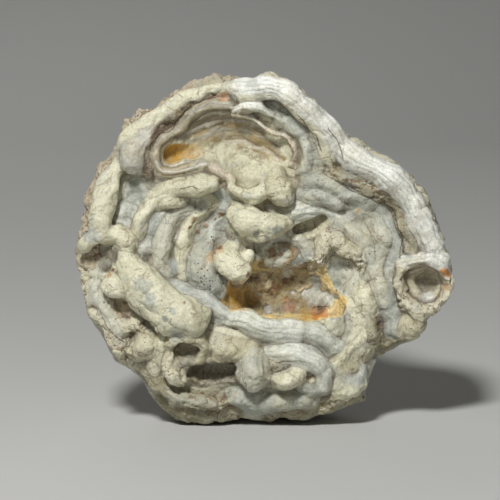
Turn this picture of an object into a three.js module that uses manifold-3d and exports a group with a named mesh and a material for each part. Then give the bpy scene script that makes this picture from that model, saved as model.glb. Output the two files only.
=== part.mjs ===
// A chalcedony rose: one stone, a thick, slightly dished disc of folded bands that stands on a
// small flat spot of its edge. Millimetres, +Z up. The folded face looks along -Y and leans back.
//
// The stone is drawn on its own face: u runs to the right, v up the face and w out of the face,
// towards whoever looks at it. A point of a fold is [u, v, w, radius]: its spine and its thickness.
import * as THREE from "three";
import { mergeVertices } from "three/addons/utils/BufferGeometryUtils.js";
import Module from "manifold-3d";

const WIDTH = 60; // across the face, the longest measure of the stone
const LEAN = THREE.MathUtils.degToRad(8); // how far the face leans back from upright

const BODY = {
  centre: [0, 27.5], // u and v of the middle that the outline is seen from
  shoulder: 0.9, // how far out, of the way to the outline, the face ends and the edge begins
  backShoulder: 0.7, // and how far out the back begins
  widestLevel: -2, // w of the widest section
  backLevel: -9, // w of the plain back
  squareness: 2.4, // of the edge's section: 2 is an ellipse, higher is more like a slab
};
const BED = {
  spread: 2, // how far a fold is felt in the bed that the folds lie on
  drop: 0.4, // how far the bed lies under a fold's spine, of the fold's radius
};
const SKIN = {
  detail: 21, // cuts each edge of the icosahedron into one more piece than this
  faceShare: 0.65, // of the skin's facets, those on the face
  backShare: 0.17, // and those on the back; the rest go round the edge
  wear: 0.35, // how far wear takes each point towards the middle of its neighbours
};
const BALL_STEP = 0.5; // between the balls that a fold is drawn with
const FOLD_FULLNESS = 2.6; // of a fold's section: 2 is a parabola, higher is rounder with steeper flanks
const FOOT_CUT = 0.9; // how much of the lowest lobes the resting face takes off
const STONE_GREY = 0xcfccbd;

// The outline of the stone, clockwise from where its left side leaves the ground.
const OUTLINE = [
  [-11, 0], [-13.1, 0.1], [-15.3, 1.1], [-17.3, 3.3], [-18.9, 5.5], [-20.1, 7.3], [-22.1, 9],
  [-23.8, 10], [-25, 12.6], [-26.4, 14.8], [-27.6, 16.6], [-28.6, 19.6], [-29.3, 23.3],
  [-29.7, 26.5], [-29.6, 30.5], [-29.1, 34], [-28.6, 36], [-28, 38], [-27, 40], [-26.2, 42],
  [-25, 43], [-24, 44.4], [-23.3, 45.6], [-22.8, 46.9], [-22.1, 48.3], [-20.9, 49.7],
  [-19.3, 50.7], [-17.5, 51.3], [-16.5, 52.3], [-15.1, 53.3], [-13.7, 54.1], [-12.1, 55.1],
  [-10.2, 55.8], [-8.2, 56.4], [-7.2, 56.8], [-5.6, 56.5], [-4.8, 55.9], [-3.8, 56.1], [-1.4, 56],
  [0.4, 56.3], [2.1, 56.1], [4.1, 55.4], [5.7, 54.4], [7.5, 52.9], [8.5, 51.7], [9.9, 50.1],
  [11.3, 48.7], [12.5, 47.5], [13.1, 46.2], [14.4, 46.2], [16.6, 45.2], [18.4, 43.8], [20.4, 42.6],
  [22.2, 41.2], [23.8, 39.6], [24.6, 38], [25.8, 36.4], [26.7, 34.6], [27.3, 32.9], [28.1, 31.3],
  [28.7, 29.7], [28.9, 27.7], [29.9, 26.5], [30.2, 24.9], [29.7, 22.9], [29.1, 21.3], [28.3, 19.4],
  [27.1, 17.8], [26, 16.6], [25.6, 15.4], [24.6, 13.8], [23.2, 13], [21.6, 12.6], [19.6, 11.4],
  [17.8, 10.4], [17.4, 8.7], [17, 6.3], [16, 3.9], [14, 2.9], [11.7, 1.9], [8.9, 1.1], [6.5, 0.7],
  [3.3, 0.3], [-3, 0.2], [-8, 0.3],
];

// The rim: thick lips rolled over the edge of the disc.
const RIM_FOLDS = {
  rightCrest: [[12.6, 44.2, 6.5, 1.6], [14.5, 42.8, 7.5, 2], [17.5, 41.2, 8, 2.1], [20.5, 39.2, 8, 2.1],
    [22.8, 36.2, 7.5, 2], [24.5, 33, 7, 1.9], [26, 30, 6.5, 1.7], [27, 28.3, 6, 1.3]],
  rightOuter: [[13.8, 45, 3, 2], [17, 42.8, 3, 2.4], [20.5, 40, 3, 2.6], [23, 36.8, 2.5, 2.6],
    [25, 33.4, 2, 2.6], [26.4, 30.4, 1.5, 2.4], [27, 28, 1.5, 2]],
  rightInner: [[10.6, 41.2, 5.4, 1.2], [12.8, 40.3, 6, 1.3], [15.2, 38.9, 6.2, 1.4], [18, 37.9, 6.2, 1.4],
    [20.3, 36.4, 5.8, 1.3], [21.8, 33.8, 5.6, 1.3], [22.8, 31, 5.4, 1.3], [23.4, 28.3, 5.2, 1.2]],
  topOuter: [[-4.2, 54.4, 5, 1.5], [-1.5, 54.3, 6.5, 1.7], [1.5, 54.2, 7.5, 1.9], [4.5, 52.8, 8, 2],
    [7.5, 50.3, 8, 2], [10, 47.5, 7.5, 1.9], [11.6, 44.9, 6.5, 1.5], [12.4, 42.9, 5.5, 0.8]],
  topSide: [[-4, 53.4, 1.5, 2.2], [2, 53.2, 2.5, 2.8], [6, 51.2, 2.5, 2.8], [9.5, 48.4, 2.5, 2.6],
    [11.6, 46, 2, 2.2]],
  topInner: [[-3, 53, 6, 1], [0, 53.3, 7.2, 1.1], [3, 52.7, 7.8, 1.1], [5.3, 50.8, 7.8, 1.2],
    [7.6, 48.2, 7.5, 1.3], [9.4, 45.6, 6.8, 1.2], [10, 43.4, 6, 1]],
  leftOuter: [[-5.6, 54.2, 2.6, 2], [-9, 54, 2.6, 2.2], [-13, 52.4, 2, 2.4], [-17, 49.6, 1.5, 2.6],
    [-20.5, 47, 1, 2.6], [-23, 43.6, 0.5, 2.6], [-25, 40, 0, 2.8], [-26.6, 36, 0, 3],
    [-27.2, 31.6, 0, 2.8], [-27.6, 27.4, 0, 2.6]],
  leftCream: [[-6, 54.2, 5.5, 0.9], [-9, 54.2, 6, 1], [-12, 53.1, 6.2, 1.1], [-15, 51.2, 6.2, 1.2],
    [-17.5, 49.5, 6, 1.3], [-20, 48, 5.8, 1.3], [-21.8, 45.9, 5.5, 1.2], [-22.6, 43.6, 5, 0.9]],
  leftGrey: [[-17, 48.3, 5.5, 1.1], [-19, 46.6, 6, 1.4], [-20.4, 44.5, 6.2, 1.6], [-20.9, 42.1, 6.2, 1.9]],
  leftBrown: [[-8.5, 53.2, 5.4, 0.9], [-11, 52.5, 5.5, 1.1], [-13.4, 50.8, 5.7, 1.2],
    [-15.5, 48.8, 5.8, 1.2], [-17.3, 46.9, 5.8, 1.2], [-18.4, 44.6, 5.7, 1.2], [-18.4, 41.6, 5.3, 1.3]],
  wallLeft: [[-23.1, 42.4, 3.8, 1.2], [-24.2, 39.8, 4.5, 1.6], [-25.2, 37, 5, 1.9], [-25.9, 34.4, 5.2, 2],
    [-26.3, 32.2, 5, 1.8]],
  pitArch: [[-28.7, 28, 3.6, 1.2], [-27.6, 29.7, 4.6, 1.3], [-25.4, 30.6, 5, 1.3], [-23.3, 30.8, 5, 1.4],
    [-21.4, 29.5, 5.2, 1.5], [-21.2, 28.4, 5, 1.2]],
};

// The lips round the hollow at the top, and what hangs beside and under it.
const HOLLOW_FOLDS = {
  bandedLip: [[-6, 51.8, 5.2, 0.9], [-8.5, 51.6, 5.4, 1], [-11, 50.6, 5.5, 1.1], [-12.6, 49, 5.5, 1],
    [-13.9, 47.4, 5.5, 1], [-15.5, 46.3, 5.7, 1.1], [-16.9, 45, 5.8, 1.1], [-17.3, 43, 5.8, 1.1],
    [-16.4, 41.2, 5.6, 1.1], [-14.5, 40.9, 5.6, 1], [-12, 41.3, 5.6, 0.95], [-9.8, 41.7, 5.6, 0.9]],
  ledge: [[-9.3, 41.6, 5.3, 0.6], [-7.8, 40.8, 5, 0.6], [-6, 39.8, 4.8, 0.6], [-4.9, 38.9, 5, 0.8]],
  lowerLip: [[-5.2, 38.2, 5.6, 0.8], [-4, 37.3, 6, 1.1], [-2.3, 36.9, 6.2, 1.2], [-0.7, 37.4, 6, 1.1],
    [0.1, 38.3, 5.8, 0.9]],
  drop: [[2.1, 40, 4.6, 1.6], [2.4, 38.1, 5.5, 2.3], [2.6, 36.9, 6, 1.9]],
  brim: [[-4.6, 50.7, 5.8, 0.7], [-2.8, 51, 6.4, 1], [-1, 50.9, 6.6, 1], [0.4, 50, 6.2, 0.8]],
  raggedEdge: [[-5.1, 50.1, 5.4, 0.5], [-2, 49.4, 5.5, 0.5], [0.3, 47.5, 5.3, 0.5], [2.8, 46.6, 5.3, 0.5],
    [4, 45.4, 5.2, 0.5], [4.9, 43.8, 5, 0.5], [4.5, 42, 4.8, 0.5]],
  beads: [[1.8, 48.4, 6, 1.2], [3.4, 47.5, 5.8, 1], [5.2, 46.9, 5.8, 1], [6.2, 45.6, 5.6, 1.1],
    [6.4, 43.2, 5.8, 1.3], [6.3, 41.4, 5.4, 1]],
  greyBand: [[3.8, 49.2, 6, 1], [6, 47.8, 5.8, 1], [7.9, 45.6, 5.5, 1.1], [8.5, 43.2, 5.2, 1.2],
    [8, 41.2, 5, 1.1], [6.9, 39.9, 4.8, 0.9]],
  finger: [[-17.7, 35.2, 4.6, 0.7], [-16.6, 36.8, 5, 0.9], [-14.8, 38, 5.4, 1.2], [-12.3, 38.4, 5.8, 1.6],
    [-10, 38.6, 6, 1.8], [-8.7, 38.6, 5.8, 1.5]],
  underFinger: [[-16.5, 35.2, 4.4, 0.7], [-14.9, 35.9, 5, 1.2], [-13.2, 35.8, 4.8, 0.8]],
  leaf: [[-19.5, 30.6, 4.6, 0.7], [-19.4, 32, 5, 1.1], [-19, 33.4, 5, 1], [-18.2, 34.6, 4.8, 0.7]],
  eyelid: [[-22.6, 34.4, 3, 1], [-21.4, 34.6, 3.2, 0.9], [-20.3, 34, 3.3, 0.8]],
  underEyelid: [[-23, 33, 2.8, 0.9], [-22, 32, 3.2, 1], [-21, 31, 3.8, 1]],
};

// The bands that wind round the middle.
const MIDDLE_FOLDS = {
  spiralInner: [[-12.9, 23.8, 3, 0.9], [-12.9, 26.2, 3.2, 1], [-12.7, 28.8, 3.2, 1],
    [-12.3, 31.4, 3.2, 1], [-11.2, 33.6, 3.2, 1], [-9.4, 35, 3.2, 1], [-7.9, 36, 3, 0.8]],
  spiralMiddle: [[-14.6, 23.6, 3, 0.9], [-16, 25.2, 3.6, 1.3], [-16.4, 27.6, 3.8, 1.5],
    [-16, 30, 3.8, 1.4], [-15.2, 32.2, 3.8, 1.3], [-13.8, 33.9, 3.7, 1.1], [-12, 34.7, 3.4, 0.9]],
  spiralOuter: [[-18.7, 28.1, 4, 1.2], [-18.3, 29.9, 3.6, 1], [-17.9, 31.4, 3.8, 1.1],
    [-17.1, 32.8, 3.8, 1.1], [-16.2, 33.8, 3.6, 0.9]],
  disc: [[-13.8, 31.3, 2.4, 1.3], [-13.8, 30.7, 2.4, 1.3]],
  knob: [[-14.2, 25.5, 3, 1.1], [-14.2, 24.9, 3, 1.1]],
  valleyBand: [[-10.3, 29, 2, 1.1], [-8.8, 31.2, 1.8, 1.2], [-7.4, 33.4, 2, 1.1], [-6.6, 35.4, 2.6, 1.1],
    [-6.5, 36.9, 2.8, 1]],
  speckledLobe: [[-8.4, 30.2, 2.4, 1.2], [-9.8, 27.5, 2.8, 1.8], [-10, 25, 3.6, 2.3],
    [-8.9, 23.2, 3.6, 2], [-7.3, 21.5, 3, 1.1], [-6.2, 20.3, 2.4, 0.5]],
  upperTongue: [[-4.4, 33.8, 4.6, 1.6], [-2.4, 32.8, 6, 2.5], [0, 31.9, 6.3, 2.5], [2, 31.9, 5.8, 1.7],
    [3.6, 32.4, 5, 0.9]],
  lowerTongue: [[-6.5, 27, 3.8, 1.5], [-5.2, 26, 5, 2.1], [-3.9, 24.8, 5.6, 2.1]],
  tongueCorner: [[-3.4, 26.4, 4.4, 1.2], [-2.5, 27.1, 4.6, 1.1]],
  dome: [[0, 26.8, 1.4, 1.6], [1.4, 27.5, 1.8, 2.2], [3.4, 27.5, 1.8, 2.2], [5.6, 26.8, 1.4, 1.6]],
  domeRidge: [[-1, 27, 2.8, 0.6], [0.5, 29, 3.2, 0.7], [2.5, 30, 3.4, 0.7], [4.5, 29.7, 3.4, 0.7],
    [6, 29, 3.2, 0.7], [7.3, 26.8, 2.8, 0.7]],
  lowerSweep: [[-18.2, 26.2, 3.2, 0.9], [-16.9, 24.2, 3.4, 1], [-15, 22.8, 3.6, 0.9],
    [-12.8, 21.5, 3.9, 1], [-10.4, 20.4, 4.2, 1.1], [-8.2, 19.1, 4.6, 1.4], [-6.6, 17.8, 5, 1.5]],
  mainSweep: [[-5.2, 17.3, 5, 1.4], [-3, 16.9, 5.6, 1.8], [-0.6, 15.8, 5.8, 1.9], [1.8, 15.3, 5.8, 1.9],
    [4.4, 15.3, 5.6, 1.9], [7, 14.9, 5.2, 1.7], [9.4, 14, 4.8, 1.5], [11, 12.9, 4.4, 1.2]],
  oval: [[9.3, 16.9, 3.8, 1.1], [10.6, 17, 4.4, 1.5], [10.9, 15.7, 4.4, 1.3], [10.4, 14.7, 4, 0.8]],
};

// The swollen arms and knobs of the lower left.
const LOWER_LEFT_FOLDS = {
  arm: [[-21.4, 26.2, 5, 1.9], [-20, 24.2, 5.6, 2.8], [-18.2, 21.6, 6.2, 3.4], [-16, 19.3, 6.7, 3.6],
    [-13.6, 17.8, 7, 3.5], [-11.4, 17, 7.2, 2.8], [-10, 17.3, 7, 1.9]],
  pitLobe: [[-24.4, 23, 5, 1.5], [-23.4, 22.2, 5.6, 1.9], [-22.4, 21.2, 5.4, 1.2]],
  pitKnob: [[-23.4, 26.2, 4.8, 0.95], [-23, 25.8, 4.8, 0.95]],
  outerTerrace: [[-28.3, 23, 1.5, 1.1], [-27.5, 20.6, 2, 1.1], [-26.5, 18.2, 2.5, 1.1],
    [-25.1, 16, 3, 1.2], [-23.6, 14.2, 3, 1.3], [-22.5, 12.6, 2.8, 1.3], [-22.6, 11.4, 2, 1.2]],
  terrace: [[-27, 22.4, 3, 0.8], [-26.2, 20.2, 3.5, 0.9], [-25, 18, 4, 1], [-23.7, 16.2, 4, 1],
    [-22.2, 14.9, 4, 0.9]],
  innerTerrace: [[-25.3, 20.6, 3.6, 0.6], [-24.2, 18.8, 3.8, 0.6], [-23, 17.2, 4, 0.7],
    [-21.6, 15.8, 4.4, 1], [-20.3, 16, 4.6, 1.5]],
  smoothKnob: [[-18.8, 13.6, 5, 1.8], [-18.6, 12.4, 5, 2], [-20.2, 11.3, 3.8, 1.3]],
  strip: [[-16.1, 14, 5.4, 0.8], [-16.2, 12.4, 5.4, 0.9], [-16.8, 10.6, 4.8, 1], [-17.4, 9.2, 4, 1]],
  ear: [[-14.4, 12.8, 6.4, 1.1], [-12.8, 14, 7, 1.3], [-11, 14, 7, 1.3], [-9.8, 12.8, 6.6, 1.2],
    [-10, 11.4, 6, 1]],
  curl: [[-14.7, 11, 6, 0.9], [-14.9, 9.4, 5.6, 1.1], [-14.3, 8, 5.2, 1.2], [-13, 7.3, 4.8, 1]],
  slope: [[-18.3, 9, 2.4, 1.4], [-17.2, 7, 2.4, 1.5], [-15.5, 5.2, 2.8, 1.5], [-13.3, 4, 3.2, 1.4],
    [-11, 3.4, 3.6, 1.3], [-8.8, 3.4, 3.8, 1.2], [-6.8, 3, 3.6, 1]],
};

// The blobs along the bottom and the folds of the lower right.
const BOTTOM_FOLDS = {
  roll: [[-8.3, 13.4, 5, 1.3], [-6.3, 12.4, 5.6, 1.8], [-4.2, 12, 5.6, 1.6], [-2.2, 12.3, 5.2, 1.1]],
  rollEdge: [[-8.5, 15.3, 4.6, 0.5], [-6, 14.8, 5, 0.6], [-3.6, 14.1, 5.2, 0.6], [-1.2, 13.3, 5, 0.5]],
  bigLobe: [[-1.7, 10.2, 6, 2], [-1.7, 8.3, 6.6, 2.4], [-1.6, 6.9, 6, 2]],
  arch: [[1.2, 11.6, 5.2, 1], [3.2, 11.9, 5.9, 1.5], [5.6, 11.4, 6.1, 1.7], [7.9, 10.1, 6, 1.7],
    [9.3, 8.4, 5.6, 1.6], [9.3, 6.6, 5, 1.3]],
  roughLobe: [[1.8, 9.6, 5.4, 1.1], [3.8, 10, 5.4, 0.9], [6, 9, 5.4, 1.1], [7.2, 7.6, 5.2, 1]],
  creamLobe: [[2.2, 7, 6.4, 1.2], [3.8, 7.3, 6.9, 1.8], [4.9, 8, 6.6, 1.3]],
  greyLobe: [[6.3, 6.2, 5.2, 1], [7.8, 5.6, 5, 1], [9.3, 5.6, 4.6, 0.9]],
  rib: [[15.2, 16.6, 3.1, 1], [15.4, 14.8, 3, 0.9], [14.8, 13, 3.5, 0.9], [13, 11.2, 4, 1],
    [11.6, 9.5, 4.2, 0.9], [11, 8.6, 4, 0.6]],
  lowerRib: [[17, 13.2, 2, 1], [16, 12, 2.5, 1], [14.6, 10.6, 3, 1], [13.3, 9.3, 3.3, 1],
    [12.3, 8.3, 3.3, 0.8]],
  innerRib: [[12.4, 18.6, 3.4, 0.6], [13, 17, 3.6, 0.7], [12.8, 15.4, 3.7, 0.7], [12, 13.9, 3.7, 0.7],
    [11.3, 12.3, 3.7, 0.7]],
  middleRib: [[14, 18.6, 3.4, 1.3], [14.4, 16.8, 3.4, 1], [14, 15, 3.4, 0.8], [13.1, 13.5, 3.5, 0.7],
    [12.2, 12.2, 3.5, 0.6]],
  cupLobe: [[12.7, 8.5, 3.2, 0.9], [12.9, 7.3, 3.4, 0.9], [14, 6.8, 3.4, 0.9], [15.2, 7.3, 3.2, 0.9],
    [15.6, 8.5, 2.8, 0.8]],
  saddle: [[11.2, 6.6, 3.4, 1], [12.6, 5.4, 3.6, 1.2], [14.2, 5.4, 3.2, 1.2], [15.4, 6.2, 2.6, 1]],
  footLeft: [[-15, 3.4, 0.5, 1.6], [-12, 2.4, 1, 2], [-8.5, 2.2, 1, 2], [-5.5, 2.4, 0.8, 1.8]],
  footMiddle: [[-4.3, 4, 3.6, 1.3], [-1.5, 3.6, 3, 1.4], [1.3, 3.4, 3, 1.4], [4.6, 3.8, 4, 1.3],
    [7.3, 3.8, 3.4, 1.2]],
  footRight: [[2, 2.4, 0.6, 1.8], [5, 2.6, 1, 2], [8.5, 3.2, 1.5, 2], [11.5, 4.2, 2, 1.8],
    [13.8, 5, 2, 1.6]],
};

// The nested bands of the right side and the round eye at its edge.
const RIGHT_FOLDS = {
  petal: [[6.9, 38.9, 4.5, 0.8], [8.8, 39.3, 5.2, 1.1], [10.8, 38.4, 5.3, 1.2], [13, 37.1, 5.2, 1.2],
    [15.4, 36.6, 5, 1.1], [17.3, 36, 4.6, 0.8]],
  lowerPetal: [[5.9, 37.4, 4.2, 0.6], [7.6, 36.9, 4.9, 1.1], [9.5, 36.5, 5, 1.3], [11.2, 35.4, 4.6, 1.1]],
  shelf: [[0.8, 35, 3.2, 0.7], [2.6, 34.2, 3.6, 0.9], [4.8, 34.4, 4, 1.3], [7, 34.8, 4, 1.1],
    [9, 34.4, 3.7, 0.9], [11, 33.6, 3.5, 0.7], [13, 32.8, 3.3, 0.6]],
  innerPetal: [[11.4, 32.4, 3.4, 0.9], [13.2, 31.6, 3.7, 1], [15, 30.3, 3.7, 1], [16.2, 28.5, 3.7, 1],
    [16.9, 26.6, 3.6, 0.9], [17.2, 24.8, 3.4, 0.9]],
  pocketArch: [[8.5, 26.5, 3, 1.2], [10.5, 29.6, 3, 1.6], [12.5, 28.5, 3, 1.6], [14.5, 28, 3, 1.6],
    [15.3, 26.5, 3, 1.4]],
  blueBand: [[18.6, 35.6, 4, 1], [19.8, 33.6, 4, 1.1], [20.7, 31.4, 4, 1.2], [21.1, 29.2, 4, 1.2],
    [20.6, 27, 3.6, 1.2], [20, 24.5, 3.2, 1.2], [19.8, 21.5, 3, 1.3], [20.1, 18.5, 2.6, 1.4],
    [20.6, 15.5, 1.9, 1.6]],
  lumpRow: [[18.3, 33.6, 3.8, 0.9], [18.7, 30.3, 4, 1.5], [18.6, 27.6, 3.7, 1], [18, 25, 3.4, 1],
    [18.2, 22.6, 3.6, 1.1], [18.9, 20, 3.4, 1]],
  block: [[15.8, 21.8, 3.2, 1], [15.8, 20.2, 3.6, 1.2], [16.4, 18.6, 3.4, 1.1]],
  eyeBody: [[24.6, 22.5, 0.5, 4], [25.2, 22.5, 0.5, 4]],
  brow: [[21.8, 25.8, 4.6, 1], [24, 26.6, 5.8, 1.4], [26.3, 26.8, 6, 1.5], [27.8, 26, 5.6, 1.5],
    [28.4, 24.8, 5, 1.2]],
  eyeRing: [[21.8, 25.4, 4.7, 0.9], [21.3, 23.2, 4.9, 0.9], [21.6, 20.9, 4.9, 0.9], [22.9, 19, 4.7, 0.9],
    [25.2, 18.2, 4.5, 1], [27.1, 19.2, 4.5, 1.1], [28.3, 21.1, 4.5, 1.1], [28.6, 23, 4.5, 1.1],
    [28.4, 24.7, 4.7, 1.1]],
  underEye: [[24, 16.6, 2.8, 2.2], [23, 15.2, 2.4, 2.1]],
  lowLumps: [[16.6, 16.4, 3, 1], [17.1, 14.3, 2.8, 1.1], [18.8, 12.9, 1.3, 1.1], [20.8, 13.4, 1, 1.1]],
};

// The back: broad, low lobes that swell against each other.
const BACK_FOLDS = {
  backLeft: [[-21, 31, -5.4, 6.8], [-20.4, 35, -5.4, 7]],
  backUpperLeft: [[-16.8, 41.6, -5.4, 7], [-13.4, 44.8, -5.4, 7]],
  backTop: [[-6, 47.2, -5.4, 7.4], [-1.6, 47, -5.4, 7.4]],
  backUpperRight: [[5.4, 42.6, -5.4, 7.4], [8.6, 39, -5.4, 7]],
  backRight: [[15.4, 34.8, -5.4, 7.2], [19, 30.4, -5.4, 7.2]],
  backLowerRight: [[20.6, 24.4, -5.4, 7], [18.6, 20, -5.4, 7]],
  backLowerLeft: [[-20, 24, -5.4, 7.2], [-17.8, 19.4, -5.4, 7.4]],
  backLow: [[-11.6, 11, -6.2, 8.2], [-7.8, 8.9, -6.2, 8.4]],
  backFoot: [[0, 8.9, -6.2, 8.4], [4.6, 9.1, -6.2, 8.4]],
  backFootRight: [[10, 12.8, -5.4, 6.8], [11.4, 15.4, -5.4, 6.8]],
  backMiddleLeft: [[-9, 33, -6.6, 8], [-5.4, 35.6, -6.6, 8]],
  backMiddleRight: [[4.2, 31.8, -6.6, 8.2], [6.6, 28, -6.6, 8]],
  backMiddleLow: [[-6.6, 22.8, -6.6, 8], [-2, 20.8, -6.6, 8]],
  backMiddleSide: [[8.8, 20.4, -6.6, 7.6], [11.6, 23.2, -6.6, 7.4]],
};

// What is hollow: the one at the top, the stained one in the middle, the eye and smaller pits.
const HOLLOWS = {
  upper: [[-11, 46, 7.4, 3.6], [-8.4, 46, 8, 5], [-5, 45, 8.7, 6.4], [-2, 44, 8.9, 6.6],
    [0.8, 43.4, 8.5, 5.4], [2.2, 43, 8, 4.4]],
  upperWall: [[-9.4, 47.2, 6, 2.2], [-6.6, 47.5, 5.7, 2.4], [-3.6, 46.9, 5.7, 2.4], [-1, 45.5, 5.9, 2.2]],
  keyhole: [[-14.8, 43.6, 5, 0.95], [-12, 44.2, 4.5, 1.2], [-9.4, 44.8, 4.8, 1.4]],
  upperFloor: [[-4, 42.4, 6.4, 3.2], [-2.2, 40.8, 6.4, 2.8]],
  middle: [[-3.8, 20.3, 4, 2.6], [-1.2, 21.2, 4.2, 4], [2, 21.8, 4, 5], [5.4, 21.6, 4, 5],
    [8.2, 20.8, 4.2, 4], [10, 19.2, 3.6, 2.4]],
  middleBack: [[-1.6, 20.6, 1.6, 2], [1.4, 20.2, 1, 2.4], [5, 20, 1, 2.4], [8, 19.4, 1.6, 2]],
  rightPocket: [[12.3, 25, 3.5, 2], [11.9, 22.6, 3.3, 1.6]],
  shadowPocket: [[5, 31.6, 3, 1], [7.4, 32.2, 2.8, 1.4], [8.8, 32.8, 3, 1.1]],
  eye: [[24.8, 22.7, 6.8, 3.3], [25.4, 22, 6.8, 3.3]],
  eyeDepth: [[25.2, 23.1, 4.4, 1.6], [25.6, 22.5, 4.4, 1.6]],
  leftPit: [[-25.8, 27, 5.2, 1.5], [-24.6, 27.3, 5.2, 1.2]],
  ear: [[-12.6, 11.6, 6.8, 1.5], [-12, 11.6, 6.8, 1.5]],
  under: [[-10.6, 8.9, 4.6, 1.4], [-8.2, 8.5, 4, 1.9], [-5.8, 8.5, 4.4, 1.5]],
  ripple: [[-22.8, 19, 5.2, 1.1], [-22, 18.4, 5.2, 1.1]],
  underRim: [[-21.4, 37.9, 5.2, 1.1], [-20.8, 36.8, 5, 1.3]],
  brownPocket: [[18.4, 16.6, 3.8, 1], [18.5, 15.6, 3.6, 0.9]],
};

const FACE_FOLDS = [
  RIM_FOLDS, HOLLOW_FOLDS, MIDDLE_FOLDS, LOWER_LEFT_FOLDS, BOTTOM_FOLDS, RIGHT_FOLDS,
].flatMap(Object.values);

const onFace = (u, v, w) => new THREE.Vector3(u, -w, v);

const wasm = await Module();
wasm.setup();

// The same surface with its corners shared between facets.
function welded(geometry) {
  const bare = geometry.clone();
  bare.deleteAttribute("normal");
  bare.deleteAttribute("uv");
  return mergeVertices(bare, 1e-4);
}

function solidOf(geometry) {
  const closed = welded(geometry);
  return new wasm.Manifold(new wasm.Mesh({
    numProp: 3,
    vertProperties: closed.attributes.position.array,
    triVerts: new Uint32Array(closed.index.array),
  }));
}

function geometryOf(solid) {
  const mesh = solid.getMesh();
  return new THREE.BufferGeometry()
    .setAttribute("position", new THREE.BufferAttribute(mesh.vertProperties.slice(), 3))
    .setIndex(new THREE.BufferAttribute(mesh.triVerts.slice(), 1));
}

// How far a place on the face is from the outline.
function clearance(u, v) {
  const place = new THREE.Vector3(u, v, 0);
  const nearest = new THREE.Vector3();
  return Math.min(...OUTLINE.map(([u0, v0], i) => {
    const [u1, v1] = OUTLINE[(i + 1) % OUTLINE.length];
    const edge = new THREE.Line3(new THREE.Vector3(u0, v0, 0), new THREE.Vector3(u1, v1, 0));
    return edge.closestPointToPoint(place, true, nearest).distanceTo(place);
  }));
}

// A fold as a row of balls along a curve through its points. None reaches past the outline.
function ballsOf(points) {
  const spine = new THREE.CatmullRomCurve3(points.map(([u, v, w]) => onFace(u, v, w)));
  const spans = points.length - 1;
  const count = Math.ceil(spine.getLength() / BALL_STEP);
  return Array.from({ length: count + 1 }, (_, i) => {
    const along = i / count;
    const span = Math.min(Math.floor(along * spans), spans - 1);
    const radius = THREE.MathUtils.lerp(points[span][3], points[span + 1][3], along * spans - span);
    const centre = spine.getPoint(along);
    return new THREE.Sphere(centre, Math.min(radius, clearance(centre.x, centre.z)));
  });
}

// Where a ray passes a ball's middle, and how much the ball swells there: its radius on the ray
// through the middle, nothing at its edge, and less than nothing further off, so that flanks run
// down into the valleys with no step.
function passing(ray, ball) {
  const x = ball.center.x - ray.origin.x;
  const y = ball.center.y - ray.origin.y;
  const z = ball.center.z - ray.origin.z;
  const middle = x * ray.direction.x + y * ray.direction.y + z * ray.direction.z;
  const off = Math.sqrt(Math.max(x * x + y * y + z * z - middle * middle, 0));
  return [middle, ball.radius * (1 - (off / ball.radius) ** FOLD_FULLNESS)];
}

// How far a ray goes to the furthest fold, and no less than the given reach.
function raised(ray, balls, reach) {
  for (const ball of balls) {
    const [middle, swell] = passing(ray, ball);
    reach = Math.max(reach, middle + swell);
  }
  return reach;
}

// How far a ray goes to the deepest hollow before it, and no more than the given reach.
function carved(ray, balls, reach) {
  for (const ball of balls) {
    const [middle, swell] = passing(ray, ball);
    if (middle > 0) reach = Math.min(reach, middle - swell);
  }
  return reach;
}

// How far the outline lies from the body's centre in one direction.
function outlineReach(angle) {
  const [cu, cv] = BODY.centre;
  const ray = [Math.cos(angle), Math.sin(angle)];
  let reach = 0;
  OUTLINE.forEach(([u0, v0], i) => {
    const [u1, v1] = OUTLINE[(i + 1) % OUTLINE.length];
    const edge = [u1 - u0, v1 - v0];
    const start = [u0 - cu, v0 - cv];
    const cross = ray[0] * edge[1] - ray[1] * edge[0];
    const away = (start[0] * edge[1] - start[1] * edge[0]) / cross;
    const share = (start[0] * ray[1] - start[1] * ray[0]) / cross;
    if (away > 0 && share >= 0 && share <= 1) reach = Math.max(reach, away);
  });
  return reach;
}

// How far forward the bed lies at a place on the face: a little under the folds around it.
function bedLevel(u, v, balls) {
  let sum = 0;
  let weights = 0;
  for (const { center, radius } of balls) {
    const squared = (center.x - u) ** 2 + (center.z - v) ** 2;
    const weight = Math.exp(-squared / (2 * BED.spread ** 2));
    sum += weight * (-center.y - BED.drop * radius);
    weights += weight;
  }
  return sum / weights;
}

// Which way a point of the unit ball goes: how far out it is on the face or the back, and how far
// the edge has turned there, from 0 at the face to half a turn at the back.
function spread(height) {
  const faceEnd = 1 - 2 * SKIN.faceShare;
  const backEnd = -1 + 2 * SKIN.backShare;
  if (height >= faceEnd) return { out: Math.sqrt((1 - height) / (1 - faceEnd)), turn: 0 };
  if (height <= backEnd) return { out: Math.sqrt((1 + height) / (1 + backEnd)), turn: Math.PI };
  return { out: 1, turn: ((faceEnd - height) / (faceEnd - backEnd)) * Math.PI };
}

const swelling = (value) => Math.sign(value) * Math.abs(value) ** (2 / BODY.squareness);

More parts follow.
